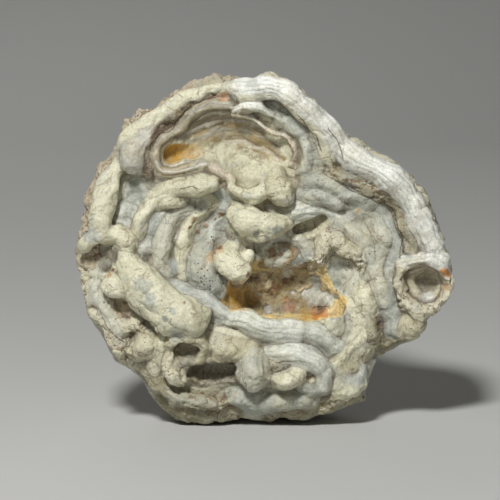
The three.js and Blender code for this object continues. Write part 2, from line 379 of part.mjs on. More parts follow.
// The stone's skin: a geodesic ball spread over the body, each of its points moved out to the
// furthest fold that lies over it and back out of the hollows.
function skinGeometry() {
  const faceBalls = FACE_FOLDS.flatMap(ballsOf);
  const balls = [...faceBalls, ...Object.values(BACK_FOLDS).flatMap(ballsOf)];
  const hollows = Object.values(HOLLOWS).flatMap(ballsOf);
  const skin = welded(new THREE.IcosahedronGeometry(1, SKIN.detail));
  const position = skin.attributes.position;
  const [cu, cv] = BODY.centre;
  for (let i = 0; i < position.count; i++) {
    const angle = Math.atan2(position.getY(i), position.getX(i));
    const { out, turn } = spread(position.getZ(i));
    const reach = outlineReach(angle);
    const shoulder = turn < Math.PI / 2 ? BODY.shoulder : BODY.backShoulder;
    const inner = out * shoulder * reach;
    const u = cu + inner * Math.cos(angle);
    const v = cv + inner * Math.sin(angle);
    const level = turn < Math.PI / 2 ? bedLevel(u, v, faceBalls) : BODY.backLevel;
    const rim = swelling(Math.sin(turn)) * (1 - shoulder) * reach;
    const rise = Math.abs(swelling(Math.cos(turn))) * (level - BODY.widestLevel);
    const origin = onFace(u, v, BODY.widestLevel);
    const side = onFace(Math.cos(angle), Math.sin(angle), 0);
    const surface = onFace(u, v, BODY.widestLevel + rise).addScaledVector(side, rim);
    const ray = new THREE.Ray(origin, surface.clone().sub(origin).normalize());
    const plain = surface.distanceTo(origin);
    const point = ray.at(carved(ray, hollows, raised(ray, balls, plain)), new THREE.Vector3());
    position.setXYZ(i, point.x, point.y, point.z);
  }
  return skin;
}

// Wears the skin: each point moves towards the middle of the points that it shares a facet with.
function worn(skin) {
  const position = skin.attributes.position;
  const sums = Array.from({ length: position.count }, () => ({ total: new THREE.Vector3(), count: 0 }));
  const corners = skin.index.array;
  for (let i = 0; i < corners.length; i++) {
    const next = i % 3 === 2 ? corners[i - 2] : corners[i + 1];
    sums[corners[i]].total.add(new THREE.Vector3().fromBufferAttribute(position, next));
    sums[corners[i]].count += 1;
  }
  sums.forEach(({ total, count }, i) => {
    const point = new THREE.Vector3().fromBufferAttribute(position, i);
    point.lerp(total.divideScalar(count), SKIN.wear);
    position.setXYZ(i, point.x, point.y, point.z);
  });
  return skin;
}

function stoneGeometry() {
  const upright = worn(skinGeometry()).rotateX(-LEAN);
  upright.computeBoundingBox();
  const ground = new THREE.BoxGeometry(3 * WIDTH, 3 * WIDTH, WIDTH);
  ground.translate(0, 0, upright.boundingBox.min.z + FOOT_CUT - WIDTH / 2);
  const standing = geometryOf(solidOf(upright).subtract(solidOf(ground)));
  standing.computeBoundingBox();
  const { min, max } = standing.boundingBox;
  const scale = WIDTH / (max.x - min.x);
  return standing.translate(-(min.x + max.x) / 2, -(min.y + max.y) / 2, -min.z).scale(scale, scale, scale);
}

const stone = new THREE.Mesh(
  stoneGeometry(),
  new THREE.MeshStandardMaterial({ color: STONE_GREY, roughness: 0.75, metalness: 0, flatShading: true }),
);
stone.name = "chalcedony_rose";

const rose = new THREE.Group();
rose.add(stone);
export default rose;
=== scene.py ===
# A chalcedony rose: the fine surface, the stone's material, and a plain studio round it.
#
# The stone is drawn on its own face, in millimetres: u runs to the right, v up the face and w out
# of the face, towards whoever looks at it. A point of a fold is (u, v, w, radius).
import functools
import math
from types import SimpleNamespace

import bpy
import numpy as np
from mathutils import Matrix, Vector, noise


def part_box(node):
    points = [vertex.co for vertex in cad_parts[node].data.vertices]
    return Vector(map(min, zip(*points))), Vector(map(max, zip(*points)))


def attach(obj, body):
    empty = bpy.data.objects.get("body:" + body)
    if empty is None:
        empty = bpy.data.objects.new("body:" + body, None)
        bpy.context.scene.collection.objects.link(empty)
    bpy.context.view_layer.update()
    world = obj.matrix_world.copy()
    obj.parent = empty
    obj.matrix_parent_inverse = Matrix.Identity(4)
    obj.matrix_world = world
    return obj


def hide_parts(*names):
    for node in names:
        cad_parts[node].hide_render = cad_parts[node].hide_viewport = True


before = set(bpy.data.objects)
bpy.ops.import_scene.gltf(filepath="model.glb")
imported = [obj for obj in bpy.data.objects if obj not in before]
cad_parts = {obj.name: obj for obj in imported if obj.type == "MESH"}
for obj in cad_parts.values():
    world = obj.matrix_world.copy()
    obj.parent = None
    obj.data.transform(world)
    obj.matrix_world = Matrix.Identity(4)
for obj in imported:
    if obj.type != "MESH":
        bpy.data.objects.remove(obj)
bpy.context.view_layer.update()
NODE = "chalcedony_rose"

MM = 0.001
LEAN = math.radians(8)  # how far the face leans back from upright
CELL = 0.25  # of the grid that the surface is drawn on
SEAM_LEVEL = -3.0  # w and u of the seams between the pieces of the skin
SEAM_ACROSS = -1.0
GRID_LOW = (-31.0, -1.5, -17.0)
GRID_HIGH = (31.5, 58.0, 12.5)
BALL_STEP = 0.35  # between the balls that a fold is drawn with
RIM_FILLET = 1.3  # between the folds of the rim, which lie close together
FOLD_FILLET = 0.85  # in the crease where one fold lies against the next
LIP_FILLET = 0.35  # where a lip or a tongue leaves the folds behind it
HOLLOW_FILLET = 0.6  # along the lip of a hollow
FOOT_CUT = 0.9  # how much of the lowest lobes the resting face takes off

EDGE_WIDTH = 3.0  # the stretch next to the outline over which the face turns to the edge
BACK_EDGE_WIDTH = 9.0  # and over which the edge turns to the back
WIDEST_LEVEL = -2.0
BACK_LEVEL = -9.0
SQUARENESS = 2.4  # of the edge's section: 2 is an ellipse, higher is more like a slab
BED_SPREAD = 1.6  # how far a fold is felt in the bed that the folds lie on
BED_DROP = 0.05  # how far the bed lies under a fold's spine, of the fold's radius

FAR = 50.0  # a distance that stands for far off
MARGIN = 1.5  # how far round a ball the grid is changed
LEAST_RADIUS = 0.2  # of a ball next to the outline
BED_STRIDE = 3  # the bed follows every third ball
OFF_LINES = 3.0  # the distance to a crack that stands for none near
LINE_STEP = 0.5  # between the places that a crack is drawn through
BAND_TILT = 0.35  # how much the bands in a hollow climb with height on the face
RAGGED_SIZE = 1.1  # of the noise that frays the edge of a patch
RAGGED_SHARE = 0.4
EASING = 0.6  # how far each round of smoothing moves a corner
CAVITY_ROUNDS = 10  # of smoothing, to find the creases
HOLLOW_ROUNDS = 60  # and to find the broad hollows

# The fine relief: how far apart its features lie, and how high they stand.
WART_SIZE = 1.0
WART_HEIGHT = 0.5
LUMP_SIZE = 2.7
LUMP_HEIGHT = 0.9
SMALL_LUMP_SIZE = 1.2
SMALL_LUMP_HEIGHT = 0.3
LUMP_CROWN = 0.3  # what the middle of a lump rises to, before it falls off with distance squared
LEAST_ROUGH = 0.1  # how much of the lumps a smooth fold still has
WRINKLE_SIZE = 2.6
WRINKLE_SHARE = 0.22  # of the noise that makes a wrinkle
WRINKLE_DEPTH = 0.12
ROUGH_WRINKLE_DEPTH = 0.2  # what a rough fold has besides
GROWTH_STEP = 0.85  # between growth lines
PALE_STEP = 1.31  # between the paler, fainter ones
RIDGE_HEIGHT = 0.06
SWELL_SIZE = 4.0
SWELL_HEIGHT = 0.5
BEND_SIZE = 2.2  # the lumps lie in rows that wander by noise
BEND_REACH = 0.8
DRIFT_SIZE = 4.5  # and the folds' edges wander too
DRIFT_REACH = 0.45

# Colours that are laid over the tones, in sRGB.
CHALK = (224, 221, 196)
OLIVE_CRUST = (180, 172, 138)
GREY_CRUST = (166, 170, 160)
BARE_STONE = (151, 155, 147)
DARK_LINE = (128, 114, 92)
GLOSSY_LINE = (176, 183, 180)
PALE_LINE = (231, 229, 220)
SPECK = (70, 52, 38)
# Painted highlight, laid over what stands out.
PAINTED_CROWN_HIGHLIGHT = (236, 235, 226)
# Brown stain and painted shade in the creases.
CREASE_STAIN_AND_SHADE = (104, 82, 54)
SEAM = (84, 62, 42)
# Painted shade in the broad hollows.
PAINTED_HOLLOW_SHADE = (128, 104, 74)
SPLIT = (116, 82, 50)
CRACK = (70, 46, 30)
HAIRLINE = (124, 92, 60)
FLOOR_PAPER = (192, 192, 189)

# The studio, in metres. Each lamp has a place, a size across and a power in watts.
LAMPS = {
    "overhead": ((-0.12, -0.38, 0.44), 0.1, 3.2),
    "back_fill": ((-0.15, 0.5, 0.35), 0.4, 0.5),
    "front_fill": ((0.2, -0.7, 0.25), 0.4, 0.18),
}
LAMP_AIM = (0, 0, 0.028)
SKY_COLOUR = (1.0, 0.99, 0.95, 1)
SKY_STRENGTH = 0.06
FLOOR_HALF_WIDTH = 1.5
FLOOR_FRONT = -1.2
FLOOR_BEND = 0.45  # where the floor starts to curve up
FLOOR_RADIUS = 0.35
FLOOR_TURNS = 16
BACKDROP_TOP = 1.6
CAMERA_AIM = (-0.0022, -0.002, 0.0274)
CAMERA_DISTANCE = 0.3968
LENS = 180
NEAREST_SEEN = 0.01

# What a tone says besides its colour, and what each corner of the skin says besides its tint.
TONE_MARKS = ("blue", "striped", "warty", "speckled", "glossy")
MARKS = (
    *TONE_MARKS, "band", "gap", "cavity", "hollow", "lump_gap", "crack_near", "crack_side",
)

OUTLINE = [
    (-11, 0), (-13.1, 0.1), (-15.3, 1.1), (-17.3, 3.3), (-18.9, 5.5), (-20.1, 7.3), (-22.1, 9),
    (-23.8, 10), (-25, 12.6), (-26.4, 14.8), (-27.6, 16.6), (-28.6, 19.6), (-29.3, 23.3),
    (-29.7, 26.5), (-29.6, 30.5), (-29.1, 34), (-28.6, 36), (-28, 38), (-27, 40), (-26.2, 42),
    (-25, 43), (-24, 44.4), (-23.3, 45.6), (-22.8, 46.9), (-22.1, 48.3), (-20.9, 49.7),
    (-19.3, 50.7), (-17.5, 51.3), (-16.5, 52.3), (-15.1, 53.3), (-13.7, 54.1), (-12.1, 55.1),
    (-10.2, 55.8), (-8.2, 56.4), (-7.2, 56.8), (-5.6, 56.5), (-4.8, 55.9), (-3.8, 56.1),
    (-1.4, 56), (0.4, 56.3), (2.1, 56.1), (4.1, 55.4), (5.7, 54.4), (7.5, 52.9), (8.5, 51.7),
    (9.9, 50.1), (11.3, 48.7), (12.5, 47.5), (13.1, 46.2), (14.4, 46.2), (16.6, 45.2),
    (18.4, 43.8), (20.4, 42.6), (22.2, 41.2), (23.8, 39.6), (24.6, 38), (25.8, 36.4),
    (26.7, 34.6), (27.3, 32.9), (28.1, 31.3), (28.7, 29.7), (28.9, 27.7), (29.9, 26.5),
    (30.2, 24.9), (29.7, 22.9), (29.1, 21.3), (28.3, 19.4), (27.1, 17.8), (26, 16.6),
    (25.6, 15.4), (24.6, 13.8), (23.2, 13), (21.6, 12.6), (19.6, 11.4), (17.8, 10.4),
    (17.4, 8.7), (17, 6.3), (16, 3.9), (14, 2.9), (11.7, 1.9), (8.9, 1.1), (6.5, 0.7),
    (3.3, 0.3), (-3, 0.2), (-8, 0.3),
]

RIM_FOLDS = {
    "right_crest": ("white", [
        (12.6, 44.2, 6.5, 1.6), (14.5, 42.8, 7.5, 2), (17.5, 41.2, 8, 2.1), (20.5, 39.2, 8, 2.1),
        (22.8, 36.2, 7.5, 2), (24.5, 33, 7, 1.9), (26, 30, 6.5, 1.7), (27, 28.3, 6, 1.3),
    ]),
    "right_outer": ("cream_pitted", [
        (13.8, 45, 3, 2), (17, 42.8, 3, 2.4), (20.5, 40, 3, 2.6), (23, 36.8, 2.5, 2.6),
        (25, 33.4, 2, 2.6), (26.4, 30.4, 1.5, 2.4), (27, 28, 1.5, 2),
    ]),
    "right_inner": ("olive", [
        (10.6, 41.2, 5.4, 1.2), (12.8, 40.3, 6, 1.3), (15.2, 38.9, 6.2, 1.4), (18, 37.9, 6.2, 1.4),
        (20.3, 36.4, 5.8, 1.3), (21.8, 33.8, 5.6, 1.3), (22.8, 31, 5.4, 1.3), (23.4, 28.3, 5.2, 1.2),
    ]),
    "top_outer": ("white", [
        (-4.2, 54.4, 5, 1.5), (-1.5, 54.3, 6.5, 1.7), (1.5, 54.2, 7.5, 1.9), (4.5, 52.8, 8, 2),
        (7.5, 50.3, 8, 2), (10, 47.5, 7.5, 1.9), (11.6, 44.9, 6.5, 1.5), (12.4, 42.9, 5.5, 0.8),
    ]),
    "top_side": ("cream_pitted", [
        (-4, 53.4, 1.5, 2.2), (2, 53.2, 2.5, 2.8), (6, 51.2, 2.5, 2.8), (9.5, 48.4, 2.5, 2.6),
        (11.6, 46, 2, 2.2),
    ]),
    "top_inner": ("cream", [
        (-3, 53, 6, 1), (0, 53.3, 7.2, 1.1), (3, 52.7, 7.8, 1.1), (5.3, 50.8, 7.8, 1.2),
        (7.6, 48.2, 7.5, 1.3), (9.4, 45.6, 6.8, 1.2), (10, 43.4, 6, 1),
    ]),
    "left_outer": ("wall", [
        (-5.6, 54.2, 2.6, 2), (-9, 54, 2.6, 2.2), (-13, 52.4, 2, 2.4), (-17, 49.6, 1.5, 2.6),
        (-20.5, 47, 1, 2.6), (-23, 43.6, 0.5, 2.6), (-25, 40, 0, 2.8), (-26.6, 36, 0, 3),
        (-27.2, 31.6, 0, 2.8), (-27.6, 27.4, 0, 2.6),
    ]),
    "left_cream": ("cream", [
        (-6, 54.2, 5.5, 0.9), (-9, 54.2, 6, 1), (-12, 53.1, 6.2, 1.1), (-15, 51.2, 6.2, 1.2),
        (-17.5, 49.5, 6, 1.3), (-20, 48, 5.8, 1.3), (-21.8, 45.9, 5.5, 1.2), (-22.6, 43.6, 5, 0.9),
    ]),
    "left_grey": ("glassy", [
        (-17, 48.3, 5.5, 1.1), (-19, 46.6, 6, 1.4), (-20.4, 44.5, 6.2, 1.6), (-20.9, 42.1, 6.2, 1.9),
    ]),
    "left_brown": ("brown", [
        (-8.5, 53.2, 5.4, 0.9), (-11, 52.5, 5.5, 1.1), (-13.4, 50.8, 5.7, 1.2), (-15.5, 48.8, 5.8, 1.2),
        (-17.3, 46.9, 5.8, 1.2), (-18.4, 44.6, 5.7, 1.2), (-18.4, 41.6, 5.3, 1.3),
    ]),
    "wall_left": ("cream", [
        (-23.1, 42.4, 3.8, 1.2), (-24.2, 39.8, 4.5, 1.6), (-25.2, 37, 5, 1.9), (-25.9, 34.4, 5.2, 2),
        (-26.3, 32.2, 5, 1.8),
    ]),
    "pit_arch": ("cream", [
        (-28.7, 28, 3.6, 1.2), (-27.6, 29.7, 4.6, 1.3), (-25.4, 30.6, 5, 1.3), (-23.3, 30.8, 5, 1.4),
        (-21.4, 29.5, 5.2, 1.5), (-21.2, 28.4, 5, 1.2),
    ]),
}

HOLLOW_FOLDS = {
    "banded_lip": ("banded", [
        (-6, 51.8, 5.2, 0.9), (-8.5, 51.6, 5.4, 1), (-11, 50.6, 5.5, 1.1), (-12.6, 49, 5.5, 1),
        (-13.9, 47.4, 5.5, 1), (-15.5, 46.3, 5.7, 1.1), (-16.9, 45, 5.8, 1.1), (-17.3, 43, 5.8, 1.1),
        (-16.4, 41.2, 5.6, 1.1), (-14.5, 40.9, 5.6, 1), (-12, 41.3, 5.6, 0.95), (-9.8, 41.7, 5.6, 0.9),
    ]),
    "ledge": ("pink", [
        (-9.3, 41.6, 5.3, 0.6), (-7.8, 40.8, 5, 0.6), (-6, 39.8, 4.8, 0.6), (-4.9, 38.9, 5, 0.8),
    ]),
    "lower_lip": ("cream", [
        (-5.2, 38.2, 5.6, 0.8), (-4, 37.3, 6, 1.1), (-2.3, 36.9, 6.2, 1.2), (-0.7, 37.4, 6, 1.1),
        (0.1, 38.3, 5.8, 0.9),
    ]),
    "drop": ("olive_cream", [(2.1, 40, 4.6, 1.6), (2.4, 38.1, 5.5, 2.3), (2.6, 36.9, 6, 1.9)]),
    "brim": ("white", [
        (-4.6, 50.7, 5.8, 0.7), (-2.8, 51, 6.4, 1), (-1, 50.9, 6.6, 1), (0.4, 50, 6.2, 0.8),
    ]),
    "ragged_edge": ("pink", [
        (-5.1, 50.1, 5.4, 0.5), (-2, 49.4, 5.5, 0.5), (0.3, 47.5, 5.3, 0.5), (2.8, 46.6, 5.3, 0.5),
        (4, 45.4, 5.2, 0.5), (4.9, 43.8, 5, 0.5), (4.5, 42, 4.8, 0.5),
    ]),
    "beads": ("grey", [
        (1.8, 48.4, 6, 1.2), (3.4, 47.5, 5.8, 1), (5.2, 46.9, 5.8, 1), (6.2, 45.6, 5.6, 1.1),
        (6.4, 43.2, 5.8, 1.3), (6.3, 41.4, 5.4, 1),
    ]),
    "grey_band": ("grey", [
        (3.8, 49.2, 6, 1), (6, 47.8, 5.8, 1), (7.9, 45.6, 5.5, 1.1), (8.5, 43.2, 5.2, 1.2),
        (8, 41.2, 5, 1.1), (6.9, 39.9, 4.8, 0.9),
    ]),
    "finger": ("cream", [
        (-17.7, 35.2, 4.6, 0.7), (-16.6, 36.8, 5, 0.9), (-14.8, 38, 5.4, 1.2), (-12.3, 38.4, 5.8, 1.6),
        (-10, 38.6, 6, 1.8), (-8.7, 38.6, 5.8, 1.5),
    ]),
    "under_finger": ("cream", [
        (-16.5, 35.2, 4.4, 0.7), (-14.9, 35.9, 5, 1.2), (-13.2, 35.8, 4.8, 0.8),
    ]),
    "leaf": ("cream", [
        (-19.5, 30.6, 4.6, 0.7), (-19.4, 32, 5, 1.1), (-19, 33.4, 5, 1), (-18.2, 34.6, 4.8, 0.7),
    ]),
    "eyelid": ("blue", [(-22.6, 34.4, 3, 1), (-21.4, 34.6, 3.2, 0.9), (-20.3, 34, 3.3, 0.8)]),
    "under_eyelid": ("blue", [(-23, 33, 2.8, 0.9), (-22, 32, 3.2, 1), (-21, 31, 3.8, 1)]),
}

MIDDLE_FOLDS = {
    "spiral_inner": ("cream", [
        (-12.9, 23.8, 3, 0.9), (-12.9, 26.2, 3.2, 1), (-12.7, 28.8, 3.2, 1), (-12.3, 31.4, 3.2, 1),
        (-11.2, 33.6, 3.2, 1), (-9.4, 35, 3.2, 1), (-7.9, 36, 3, 0.8),
    ]),
    "spiral_middle": ("grey_cream", [
        (-14.6, 23.6, 3, 0.9), (-16, 25.2, 3.6, 1.3), (-16.4, 27.6, 3.8, 1.5), (-16, 30, 3.8, 1.4),
        (-15.2, 32.2, 3.8, 1.3), (-13.8, 33.9, 3.7, 1.1), (-12, 34.7, 3.4, 0.9),
    ]),
    "spiral_outer": ("blue", [
        (-18.7, 28.1, 4, 1.2), (-18.3, 29.9, 3.6, 1), (-17.9, 31.4, 3.8, 1.1), (-17.1, 32.8, 3.8, 1.1),
        (-16.2, 33.8, 3.6, 0.9),
    ]),
    "disc": ("blue", [(-13.8, 31.3, 2.4, 1.3), (-13.8, 30.7, 2.4, 1.3)]),
    "knob": ("dark_blue", [(-14.2, 25.5, 3, 1.1), (-14.2, 24.9, 3, 1.1)]),
    "valley_band": ("blue", [
        (-10.3, 29, 2, 1.1), (-8.8, 31.2, 1.8, 1.2), (-7.4, 33.4, 2, 1.1), (-6.6, 35.4, 2.6, 1.1),
        (-6.5, 36.9, 2.8, 1),
    ]),
    "speckled_lobe": ("spotted", [
        (-8.4, 30.2, 2.4, 1.2), (-9.8, 27.5, 2.8, 1.8), (-10, 25, 3.6, 2.3), (-8.9, 23.2, 3.6, 2),
        (-7.3, 21.5, 3, 1.1), (-6.2, 20.3, 2.4, 0.5),
    ]),
    "upper_tongue": ("cream", [
        (-4.4, 33.8, 4.6, 1.6), (-2.4, 32.8, 6, 2.5), (0, 31.9, 6.3, 2.5), (2, 31.9, 5.8, 1.7),
        (3.6, 32.4, 5, 0.9),
    ]),
    "lower_tongue": ("cream", [(-6.5, 27, 3.8, 1.5), (-5.2, 26, 5, 2.1), (-3.9, 24.8, 5.6, 2.1)]),
    "tongue_corner": ("cream", [(-3.4, 26.4, 4.4, 1.2), (-2.5, 27.1, 4.6, 1.1)]),
    "dome": ("tan", [
        (0, 26.8, 1.4, 1.6), (1.4, 27.5, 1.8, 2.2), (3.4, 27.5, 1.8, 2.2), (5.6, 26.8, 1.4, 1.6),
    ]),
    "dome_ridge": ("grey_cream", [
        (-1, 27, 2.8, 0.6), (0.5, 29, 3.2, 0.7), (2.5, 30, 3.4, 0.7), (4.5, 29.7, 3.4, 0.7),
        (6, 29, 3.2, 0.7), (7.3, 26.8, 2.8, 0.7),
    ]),
    "lower_sweep": ("blue", [
        (-18.2, 26.2, 3.2, 0.9), (-16.9, 24.2, 3.4, 1), (-15, 22.8, 3.6, 0.9), (-12.8, 21.5, 3.9, 1),
        (-10.4, 20.4, 4.2, 1.1), (-8.2, 19.1, 4.6, 1.4), (-6.6, 17.8, 5, 1.5),
    ]),
    "main_sweep": ("blue_white", [
        (-5.2, 17.3, 5, 1.4), (-3, 16.9, 5.6, 1.8), (-0.6, 15.8, 5.8, 1.9), (1.8, 15.3, 5.8, 1.9),
        (4.4, 15.3, 5.6, 1.9), (7, 14.9, 5.2, 1.7), (9.4, 14, 4.8, 1.5), (11, 12.9, 4.4, 1.2),
    ]),
    "oval": ("cream", [
        (9.3, 16.9, 3.8, 1.1), (10.6, 17, 4.4, 1.5), (10.9, 15.7, 4.4, 1.3), (10.4, 14.7, 4, 0.8),
    ]),
}

LOWER_LEFT_FOLDS = {
    "arm": ("cream", [
        (-21.4, 26.2, 5, 1.9), (-20, 24.2, 5.6, 2.8), (-18.2, 21.6, 6.2, 3.4), (-16, 19.3, 6.7, 3.6),
        (-13.6, 17.8, 7, 3.5), (-11.4, 17, 7.2, 2.8), (-10, 17.3, 7, 1.9),
    ]),
    "pit_lobe": ("cream", [(-24.4, 23, 5, 1.5), (-23.4, 22.2, 5.6, 1.9), (-22.4, 21.2, 5.4, 1.2)]),
    "pit_knob": ("cream", [(-23.4, 26.2, 4.8, 0.95), (-23, 25.8, 4.8, 0.95)]),
    "outer_terrace": ("cream_pitted", [
        (-28.3, 23, 1.5, 1.1), (-27.5, 20.6, 2, 1.1), (-26.5, 18.2, 2.5, 1.1), (-25.1, 16, 3, 1.2),
        (-23.6, 14.2, 3, 1.3), (-22.5, 12.6, 2.8, 1.3), (-22.6, 11.4, 2, 1.2),
    ]),
    "terrace": ("grey_cream", [
        (-27, 22.4, 3, 0.8), (-26.2, 20.2, 3.5, 0.9), (-25, 18, 4, 1), (-23.7, 16.2, 4, 1),
        (-22.2, 14.9, 4, 0.9),
    ]),
    "inner_terrace": ("cream_pitted", [
        (-25.3, 20.6, 3.6, 0.6), (-24.2, 18.8, 3.8, 0.6), (-23, 17.2, 4, 0.7), (-21.6, 15.8, 4.4, 1),
        (-20.3, 16, 4.6, 1.5),
    ]),
    "smooth_knob": ("olive_cream", [
        (-18.8, 13.6, 5, 1.8), (-18.6, 12.4, 5, 2), (-20.2, 11.3, 3.8, 1.3),
    ]),
    "strip": ("cream", [
        (-16.1, 14, 5.4, 0.8), (-16.2, 12.4, 5.4, 0.9), (-16.8, 10.6, 4.8, 1), (-17.4, 9.2, 4, 1),
    ]),
    "ear": ("olive_cream", [
        (-14.4, 12.8, 6.4, 1.1), (-12.8, 14, 7, 1.3), (-11, 14, 7, 1.3), (-9.8, 12.8, 6.6, 1.2),
        (-10, 11.4, 6, 1),
    ]),
    "curl": ("cream_pitted", [
        (-14.7, 11, 6, 0.9), (-14.9, 9.4, 5.6, 1.1), (-14.3, 8, 5.2, 1.2), (-13, 7.3, 4.8, 1),
    ]),
    "slope": ("olive", [
        (-18.3, 9, 2.4, 1.4), (-17.2, 7, 2.4, 1.5), (-15.5, 5.2, 2.8, 1.5), (-13.3, 4, 3.2, 1.4),
        (-11, 3.4, 3.6, 1.3), (-8.8, 3.4, 3.8, 1.2), (-6.8, 3, 3.6, 1),
    ]),
}

BOTTOM_FOLDS = {
    "roll": ("olive_cream", [
        (-8.3, 13.4, 5, 1.3), (-6.3, 12.4, 5.6, 1.8), (-4.2, 12, 5.6, 1.6), (-2.2, 12.3, 5.2, 1.1),
    ]),
    "roll_edge": ("cream", [
        (-8.5, 15.3, 4.6, 0.5), (-6, 14.8, 5, 0.6), (-3.6, 14.1, 5.2, 0.6), (-1.2, 13.3, 5, 0.5),
    ]),
    "big_lobe": ("grey_cream", [(-1.7, 10.2, 6, 2), (-1.7, 8.3, 6.6, 2.4), (-1.6, 6.9, 6, 2)]),
    "arch": ("blue_white", [
        (1.2, 11.6, 5.2, 1), (3.2, 11.9, 5.9, 1.5), (5.6, 11.4, 6.1, 1.7), (7.9, 10.1, 6, 1.7),
        (9.3, 8.4, 5.6, 1.6), (9.3, 6.6, 5, 1.3),
    ]),
    "rough_lobe": ("cream_pitted", [
        (1.8, 9.6, 5.4, 1.1), (3.8, 10, 5.4, 0.9), (6, 9, 5.4, 1.1), (7.2, 7.6, 5.2, 1),
    ]),
    "cream_lobe": ("cream", [(2.2, 7, 6.4, 1.2), (3.8, 7.3, 6.9, 1.8), (4.9, 8, 6.6, 1.3)]),
    "grey_lobe": ("grey", [(6.3, 6.2, 5.2, 1), (7.8, 5.6, 5, 1), (9.3, 5.6, 4.6, 0.9)]),
    "rib": ("cream", [
        (15.2, 16.6, 3.1, 1), (15.4, 14.8, 3, 0.9), (14.8, 13, 3.5, 0.9), (13, 11.2, 4, 1),
        (11.6, 9.5, 4.2, 0.9), (11, 8.6, 4, 0.6),
    ]),
    "lower_rib": ("olive_cream", [
        (17, 13.2, 2, 1), (16, 12, 2.5, 1), (14.6, 10.6, 3, 1), (13.3, 9.3, 3.3, 1),
        (12.3, 8.3, 3.3, 0.8),
    ]),
    "inner_rib": ("grey_cream", [
        (12.4, 18.6, 3.4, 0.6), (13, 17, 3.6, 0.7), (12.8, 15.4, 3.7, 0.7), (12, 13.9, 3.7, 0.7),
        (11.3, 12.3, 3.7, 0.7),
    ]),
    "middle_rib": ("cream", [
        (14, 18.6, 3.4, 1.3), (14.4, 16.8, 3.4, 1), (14, 15, 3.4, 0.8), (13.1, 13.5, 3.5, 0.7),
        (12.2, 12.2, 3.5, 0.6),
    ]),
    "cup_lobe": ("blue", [
        (12.7, 8.5, 3.2, 0.9), (12.9, 7.3, 3.4, 0.9), (14, 6.8, 3.4, 0.9), (15.2, 7.3, 3.2, 0.9),
        (15.6, 8.5, 2.8, 0.8),
    ]),
    "saddle": ("cream", [
        (11.2, 6.6, 3.4, 1), (12.6, 5.4, 3.6, 1.2), (14.2, 5.4, 3.2, 1.2), (15.4, 6.2, 2.6, 1),
    ]),
    "foot_left": ("olive", [
        (-15, 3.4, 0.5, 1.6), (-12, 2.4, 1, 2), (-8.5, 2.2, 1, 2), (-5.5, 2.4, 0.8, 1.8),
    ]),
    "foot_middle": ("grey", [
        (-4.3, 4, 3.6, 1.3), (-1.5, 3.6, 3, 1.4), (1.3, 3.4, 3, 1.4), (4.6, 3.8, 4, 1.3),
        (7.3, 3.8, 3.4, 1.2),
    ]),
    "foot_right": ("olive", [
        (2, 2.4, 0.6, 1.8), (5, 2.6, 1, 2), (8.5, 3.2, 1.5, 2), (11.5, 4.2, 2, 1.8), (13.8, 5, 2, 1.6),
    ]),
}

RIGHT_FOLDS = {
    "petal": ("grey", [
        (6.9, 38.9, 4.5, 0.8), (8.8, 39.3, 5.2, 1.1), (10.8, 38.4, 5.3, 1.2), (13, 37.1, 5.2, 1.2),
        (15.4, 36.6, 5, 1.1), (17.3, 36, 4.6, 0.8),
    ]),
    "lower_petal": ("grey", [
        (5.9, 37.4, 4.2, 0.6), (7.6, 36.9, 4.9, 1.1), (9.5, 36.5, 5, 1.3), (11.2, 35.4, 4.6, 1.1),
    ]),
    "shelf": ("blue_white", [
        (0.8, 35, 3.2, 0.7), (2.6, 34.2, 3.6, 0.9), (4.8, 34.4, 4, 1.3), (7, 34.8, 4, 1.1),
        (9, 34.4, 3.7, 0.9), (11, 33.6, 3.5, 0.7), (13, 32.8, 3.3, 0.6),
    ]),
    "inner_petal": ("grey_cream", [
        (11.4, 32.4, 3.4, 0.9), (13.2, 31.6, 3.7, 1), (15, 30.3, 3.7, 1), (16.2, 28.5, 3.7, 1),
        (16.9, 26.6, 3.6, 0.9), (17.2, 24.8, 3.4, 0.9),
    ]),
    "pocket_arch": ("cream_pitted", [
        (8.5, 26.5, 3, 1.2), (10.5, 29.6, 3, 1.6), (12.5, 28.5, 3, 1.6), (14.5, 28, 3, 1.6),
        (15.3, 26.5, 3, 1.4),
    ]),
    "blue_band": ("blue", [
        (18.6, 35.6, 4, 1), (19.8, 33.6, 4, 1.1), (20.7, 31.4, 4, 1.2), (21.1, 29.2, 4, 1.2),
        (20.6, 27, 3.6, 1.2), (20, 24.5, 3.2, 1.2), (19.8, 21.5, 3, 1.3), (20.1, 18.5, 2.6, 1.4),
        (20.6, 15.5, 1.9, 1.6),
    ]),
    "lump_row": ("grey_cream", [
        (18.3, 33.6, 3.8, 0.9), (18.7, 30.3, 4, 1.5), (18.6, 27.6, 3.7, 1), (18, 25, 3.4, 1),
        (18.2, 22.6, 3.6, 1.1), (18.9, 20, 3.4, 1),
    ]),
    "block": ("cream", [(15.8, 21.8, 3.2, 1), (15.8, 20.2, 3.6, 1.2), (16.4, 18.6, 3.4, 1.1)]),
    "eye_body": ("cream", [(24.6, 22.5, 0.5, 4), (25.2, 22.5, 0.5, 4)]),
    "brow": ("white", [
        (21.8, 25.8, 4.6, 1), (24, 26.6, 5.8, 1.4), (26.3, 26.8, 6, 1.5), (27.8, 26, 5.6, 1.5),
        (28.4, 24.8, 5, 1.2),
    ]),
    "eye_ring": ("cream_pitted", [
        (21.8, 25.4, 4.7, 0.9), (21.3, 23.2, 4.9, 0.9), (21.6, 20.9, 4.9, 0.9), (22.9, 19, 4.7, 0.9),
        (25.2, 18.2, 4.5, 1), (27.1, 19.2, 4.5, 1.1), (28.3, 21.1, 4.5, 1.1), (28.6, 23, 4.5, 1.1),
        (28.4, 24.7, 4.7, 1.1),
    ]),
    "under_eye": ("olive_cream", [(24, 16.6, 2.8, 2.2), (23, 15.2, 2.4, 2.1)]),
    "low_lumps": ("olive", [
        (16.6, 16.4, 3, 1), (17.1, 14.3, 2.8, 1.1), (18.8, 12.9, 1.3, 1.1), (20.8, 13.4, 1, 1.1),
    ]),
}

